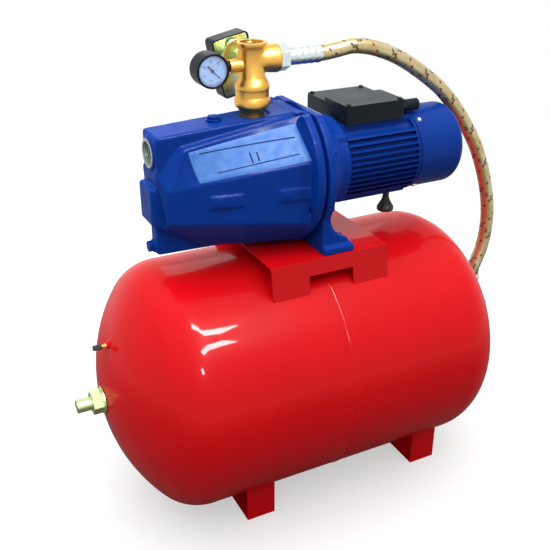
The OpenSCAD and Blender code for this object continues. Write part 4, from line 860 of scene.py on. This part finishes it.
class JETPUMP_OT_castings(bpy.types.Operator):
    """Pump body and motor bracket, their edges rounded as a sand casting's"""

    bl_idname = "jetpump.castings"
    bl_label = "Castings"

    def execute(self, context):
        for node, passes in (("pump_body", 7), ("motor_bracket", 5)):
            self.cast(node, passes, context.scene.jetpump_sizes.cast_round)
        finished(["priming_plug", "drain_plug"], MATERIALS["cast_blue"], 0.7)
        finished(["body_bolts"], MATERIALS["cast_blue"], 0.5)
        finished(["pump_foot_bolts"], MATERIALS["zinc"], 0.5)
        thread("suction_thread", (SUCTION_FACE_X + 0.7, 0, SUCTION_Z), "X", length=18,
               outer=PORT_THREAD_R, depth=PORT_THREAD_DEPTH,
               pitch=context.scene.jetpump_sizes.pipe_pitch / MM,
               material=MATERIALS["machined_iron"], inside=True)
        # Rounded edge, flat face and rounded edge, from the bore outwards.
        rim = [(0.9, 15.1), (0.15, 15.6), (0, 16.1), (0, 17), (0, 18), (0.15, 18.6),
               (0.9, 19.2)]
        mesh = turned("suction_port_face", rim, 96, (SUCTION_FACE_X, 0, SUCTION_Z))
        new_piece("suction_port_face", mesh, [MATERIALS["machined_iron"]], UNIT)
        return {"FINISHED"}

    def level_flanks(self, mesh):
        """Turn the crease across each sloped flank of the pump into one gentle twist.

        What stands up to 12 mm over the flank, and a little past its edges, comes down.
        """
        margin, tallest = 0.53, 12
        count = len(mesh.vertices)
        places = np.empty(count * 3)
        mesh.vertices.foreach_get("co", places)
        places = places.reshape(-1, 3)
        for side in (-1, 1):
            u, v, height, outward = on_flank(places / MM * (1, side, 1))
            inside = (np.abs(u - 0.5) < margin) & (np.abs(v - 0.5) < margin)
            high = (inside & (height > 0) & (height < tallest)
                    & (places[:, 1] * side > 0))
            drop = outward[high] * height[high][:, None] * (1, side, 1)
            places[high] -= drop * MM
        mesh.vertices.foreach_set("co", places.ravel())
        mesh.update()

    def cast(self, node, passes, voxel):
        """Copy of a casting built up anew from small cells and smoothed, in its place."""
        source = frame["nodes"][node]
        mesh = source.data.copy()
        mesh.name = node + "_cast"
        mesh.materials.clear()
        piece = new_piece(node + "_cast", mesh, [MATERIALS["cast_blue"]], UNIT)
        remesh = piece.modifiers.new("sand_mould", "REMESH")
        remesh.mode = "VOXEL"
        remesh.voxel_size = voxel
        remesh.use_smooth_shade = True
        smooth = piece.modifiers.new("rounded_edges", "SMOOTH")
        smooth.factor = 0.5
        smooth.iterations = passes
        evaluated = piece.evaluated_get(bpy.context.evaluated_depsgraph_get())
        cast = bpy.data.meshes.new_from_object(evaluated)
        piece.modifiers.clear()
        piece.data = cast
        cast.materials.clear()
        cast.materials.append(MATERIALS["cast_blue"])
        if node == "pump_body":
            self.level_flanks(cast)
        for polygon in cast.polygons:
            polygon.use_smooth = True
        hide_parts(node)


class JETPUMP_OT_nameplate(bpy.types.Operator):
    """Bare foil plate with two long lines and a divider, on the near flank"""

    bl_idname = "jetpump.nameplate"
    bl_label = "Nameplate"

    def execute(self, context):
        # All places are shares of the flank, along it and down it.
        corners = [np.array(c) for c in ((0.03, 0.035), (0.945, 0.12), (0.985, 0.965),
                                         (0.195, 0.935))]
        columns, rows = 64, 18
        cells = []
        for j in range(rows):
            for i in range(columns):
                a, b = i / (columns - 1), j / (rows - 1)
                u, v = ((corners[0] * (1 - a) + corners[1] * a) * (1 - b)
                        + (corners[3] * (1 - a) + corners[2] * a) * b)
                edge = min(a * PLATE_L, (1 - a) * PLATE_L, b * PLATE_W,
                           (1 - b) * PLATE_W)
                cells.append(self.raised(u, v, PLATE_T if edge > 0.01 else 0.05))
        mesh = mesh_from("nameplate", cells,
                         [face[::-1] for face in grid_faces(rows, columns)])
        new_piece("nameplate", mesh, [MATERIALS["plate"]], UNIT)
        points, faces, line_rows = [], [], 25
        for start, stop, width in (((0.129, 0.154), (0.907, 0.406), 0.016),
                                   ((0.312, 0.771), (0.911, 0.773), 0.013),
                                   ((0.542, 0.473), (0.567, 0.727), 0.006),
                                   ((0.596, 0.501), (0.615, 0.719), 0.006)):
            ahead = np.array(stop) - np.array(start)
            steep = abs(ahead[1]) > abs(ahead[0])
            across = np.array((1.0, 0.0) if steep else (0.0, 1.0)) * width
            base = len(points)
            for i in range(line_rows):
                middle = np.array(start) + ahead * i / (line_rows - 1)
                for sign in (-1, 1):
                    points.append(self.raised(*(middle + across * sign),
                                              PLATE_LINE_HEIGHT))
            faces += [tuple(base + k for k in face[::-1 if steep else 1])
                      for face in grid_faces(line_rows, 2)]
        mesh = mesh_from("nameplate_lines", points, faces)
        new_piece("nameplate_lines", mesh, [MATERIALS["plate_line"]], UNIT)
        return {"FINISHED"}

    def raised(self, u, v, height):
        """Point that high over the near flank, at u along it and v down it, in mm."""
        place, _, _, outward = flank_at(np.array([u]), np.array([v]))
        return tuple((place + outward * height)[0] * (1, -1, 1))


class JETPUMP_OT_motor(bpy.types.Operator):
    """Finned frame, fan and cover, end shield, screws, terminal box and rubber foot"""

    bl_idname = "jetpump.motor"
    bl_label = "Motor"

    def execute(self, context):
        finished(["motor_frame"], MATERIALS["frame_blue"], 0.35)
        finished(["fan_cover"], MATERIALS["cover_blue"], 0.3)
        finished(["rear_end_shield"], MATERIALS["aluminium"], 0.4)
        finished(["tie_bolts"], MATERIALS["frame_blue"], 0.3)
        finished(["small_screws"], MATERIALS["zinc"], 0.3)
        screws = bpy.data.objects["small_screws_finished"].data
        screws.materials.append(MATERIALS["abs_black"])
        for polygon in screws.polygons:
            polygon.material_index = int(polygon.center.z > LID_SCREWS_Z * MM)
        finished(["cooling_fan"], MATERIALS["plastic_inner"], 0.3)
        finished(["terminal_box", "terminal_lid", "cable_gland"], MATERIALS["abs_black"],
                 0.6)
        finished(["rubber_foot"], MATERIALS["rubber"], 0.5)
        return {"FINISHED"}


class JETPUMP_OT_fittings(bpy.types.Operator):
    """Check valve and five-way body with the pipe thread in its open port"""

    bl_idname = "jetpump.fittings"
    bl_label = "Brass fittings"

    def execute(self, context):
        finished(["check_valve_body", "five_way_body"], MATERIALS["brass"], 0.5)
        pitch = context.scene.jetpump_sizes.pipe_pitch / MM
        thread("discharge_thread", (DISCHARGE_X, 0, DISCHARGE_THREAD_Z), "Z", length=17,
               outer=PORT_THREAD_R, depth=PORT_THREAD_DEPTH, pitch=pitch,
               material=MATERIALS["turned_brass"], inside=True)
        return {"FINISHED"}


class JETPUMP_OT_gauge(bpy.types.Operator):
    """Gauge case, dial with its scale, needle and window"""

    bl_idname = "jetpump.gauge"
    bl_label = "Gauge"

    def execute(self, context):
        finished(["gauge_case"], MATERIALS["abs_black"], 0.5)
        finished(["gauge_needle"], MATERIALS["ink"], 0.0)
        dressed(["gauge_dial"], MATERIALS["dial"])
        dressed(["gauge_lens"], MATERIALS["lens"])
        self.scale()
        # Snap-on ring that holds the window in the case.
        y = GAUGE_FRONT_Y
        ring = [(y + 0.6, 18.6), (y - 0.1, 18.7), (y - 0.6, 19.2), (y - 0.8, 20),
                (y - 0.7, 20.8), (y - 0.2, 21.4), (y + 0.6, 21.55), (y + 2.6, 21.6),
                (y + 2.8, 21.4)]
        mesh = turned("gauge_bezel", ring, 120, (GAUGE_X, 0, GAUGE_Z), "Y")
        new_piece("gauge_bezel", mesh, [MATERIALS["abs_black"]], UNIT)
        return {"FINISHED"}

    def scale(self):
        """Ticks and numbers 0 to 10 over 270 degrees, on the case that lies on its side."""
        points, faces = [], []
        lift = 0.06
        face_y = GAUGE_FRONT_Y + DIAL_DEPTH - lift
        first, sweep, ticks, arcs = -45, 270, 50, 108
        long_tick_r, tick_r, ring_r, ring_edge_r, number_r = 14.4, 15.6, 17.2, 17.6, 11.4

        def at(radius, degrees):
            """Place on the dial."""
            a = math.radians(degrees)
            return (GAUGE_X + radius * math.cos(a), face_y,
                    GAUGE_Z + radius * math.sin(a))

        def mark(inner, outer, degrees, width):
            """Straight tick between two radii."""
            base = len(points)
            a = math.radians(degrees)
            side = Vector((-math.sin(a), 0, math.cos(a))) * width / 2
            for radius, sign in ((inner, -1), (outer, -1), (outer, 1), (inner, 1)):
                points.append(tuple(Vector(at(radius, degrees)) + side * sign))
            faces.append((base, base + 1, base + 2, base + 3))

        for i in range(ticks + 1):
            big = i % 10 == 0
            mark(long_tick_r if big else tick_r, ring_r, first - i * (sweep / ticks),
                 0.55 if big else 0.22)
        ring = len(points)
        for i in range(arcs + 1):
            for radius in (ring_r, ring_edge_r):
                points.append(at(radius, first - i * (sweep / arcs)))
        faces.extend((ring + 2 * i, ring + 2 * i + 2, ring + 2 * i + 3, ring + 2 * i + 1)
                     for i in range(arcs))
        mesh = mesh_from("gauge_scale", points, faces, smooth=False)
        new_piece("gauge_scale", mesh, [MATERIALS["ink"]], UNIT)
        for i in range(6):
            curve = bpy.data.curves.new(f"gauge_number_{2 * i}", "FONT")
            curve.body = str(2 * i)
            curve.size = 4.6 * MM
            curve.align_x, curve.align_y = "CENTER", "CENTER"
            number = bpy.data.objects.new(curve.name, curve)
            bpy.context.scene.collection.objects.link(number)
            spot = Vector(at(number_r, first - i * (sweep / 5))) * MM
            number.matrix_world = (Matrix.Translation(spot)
                                   @ Matrix.Rotation(math.radians(90), 4, "X")
                                   @ Matrix.Rotation(math.radians(90), 4, "Z"))
            curve.materials.append(MATERIALS["ink"])
            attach(number, UNIT)


class JETPUMP_OT_switch(bpy.types.Operator):
    """Pressure switch: plated base in the rim of a black cover"""

    bl_idname = "jetpump.switch"
    bl_label = "Pressure switch"

    def execute(self, context):
        finished(["switch_base"], MATERIALS["zinc_yellow"], 0.5)
        finished(["switch_cover"], MATERIALS["abs_black"], 1.2)
        dressed(["switch_lever"], MATERIALS["zinc"])
        return {"FINISHED"}


class JETPUMP_OT_inner(bpy.types.Operator):
    """Finishes of the parts inside the pump, the motor, the valve and the switch"""

    bl_idname = "jetpump.inner"
    bl_label = "Inner parts"

    def execute(self, context):
        for nodes, material, slot in (
                (["ejector_nozzle"], "brass", "brass"),
                (["impeller"], "brass", "impeller_brass"),
                (["venturi_tube", "diffuser"], "plastic_inner", "plastic_internal"),
                (["body_oring"], "rubber", "rubber_black"),
                (["seal_seat"], "ceramic", "ceramic"),
                (["seal_head", "rotor_core", "motor_shaft"], "steel", "steel"),
                (["stator"], "winding", "winding"),
                (["front_bearing", "rear_bearing"], "steel", "bearing_steel"),
                (["capacitor", "terminal_block", "valve_disc"], "nylon",
                 "plastic_white")):
            dressed(nodes, MATERIALS[material])
        # Each spring gets a steel copy with a mesh of its own. The joint, axis, fixed end
        # and shortest share listed with it are not used here.
        for node, joint, axis, anchor, keep in (
                ("valve_spring", "check_disc_lift", (0, 0, 1),
                 (DISCHARGE_X * MM, 0, VALVE_SPRING_TOP * MM), 0.61),
                ("switch_spring", "lever_rock", (0, 1, 0),
                 (0, SWITCH_SPRING_BACK * MM, 0), 0.81)):
            finished([node], MATERIALS["steel"], 0.0)
            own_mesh(bpy.data.objects[node + "_finished"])
        return {"FINISHED"}


OPERATORS = (
    JETPUMP_OT_stage, JETPUMP_OT_hose, JETPUMP_OT_tank, JETPUMP_OT_supports,
    JETPUMP_OT_tank_fittings, JETPUMP_OT_castings, JETPUMP_OT_nameplate,
    JETPUMP_OT_motor, JETPUMP_OT_fittings, JETPUMP_OT_gauge, JETPUMP_OT_switch,
    JETPUMP_OT_inner,
)


class JETPUMP_PT_panel(bpy.types.Panel):
    """Panel that lists the colours, the sizes and every operator"""

    bl_idname = "JETPUMP_PT_panel"
    bl_label = "Jet pump"
    bl_space_type = "VIEW_3D"
    bl_region_type = "UI"
    bl_category = "Jet pump"

    def draw(self, context):
        for group in (context.scene.jetpump_colours, context.scene.jetpump_sizes):
            for name in group.bl_rna.properties.keys():
                if name not in ("rna_type", "name"):
                    self.layout.prop(group, name)
        for operator in OPERATORS:
            self.layout.operator(operator.bl_idname)


CLASSES = (JetPumpColours, JetPumpSizes, *OPERATORS, JETPUMP_PT_panel)


def register():
    for cls in CLASSES:
        bpy.utils.register_class(cls)
    bpy.types.Scene.jetpump_colours = PointerProperty(type=JetPumpColours)
    bpy.types.Scene.jetpump_sizes = PointerProperty(type=JetPumpSizes)


def unregister():
    del bpy.types.Scene.jetpump_sizes
    del bpy.types.Scene.jetpump_colours
    for cls in reversed(CLASSES):
        bpy.utils.unregister_class(cls)


def main():
    """Make every piece in order."""
    register()
    MATERIALS.update(make_materials(bpy.context.scene.jetpump_colours))
    for operator in OPERATORS:
        group, name = operator.bl_idname.split(".")
        getattr(getattr(bpy.ops, group), name)()


if __name__ == "__main__":
    main()
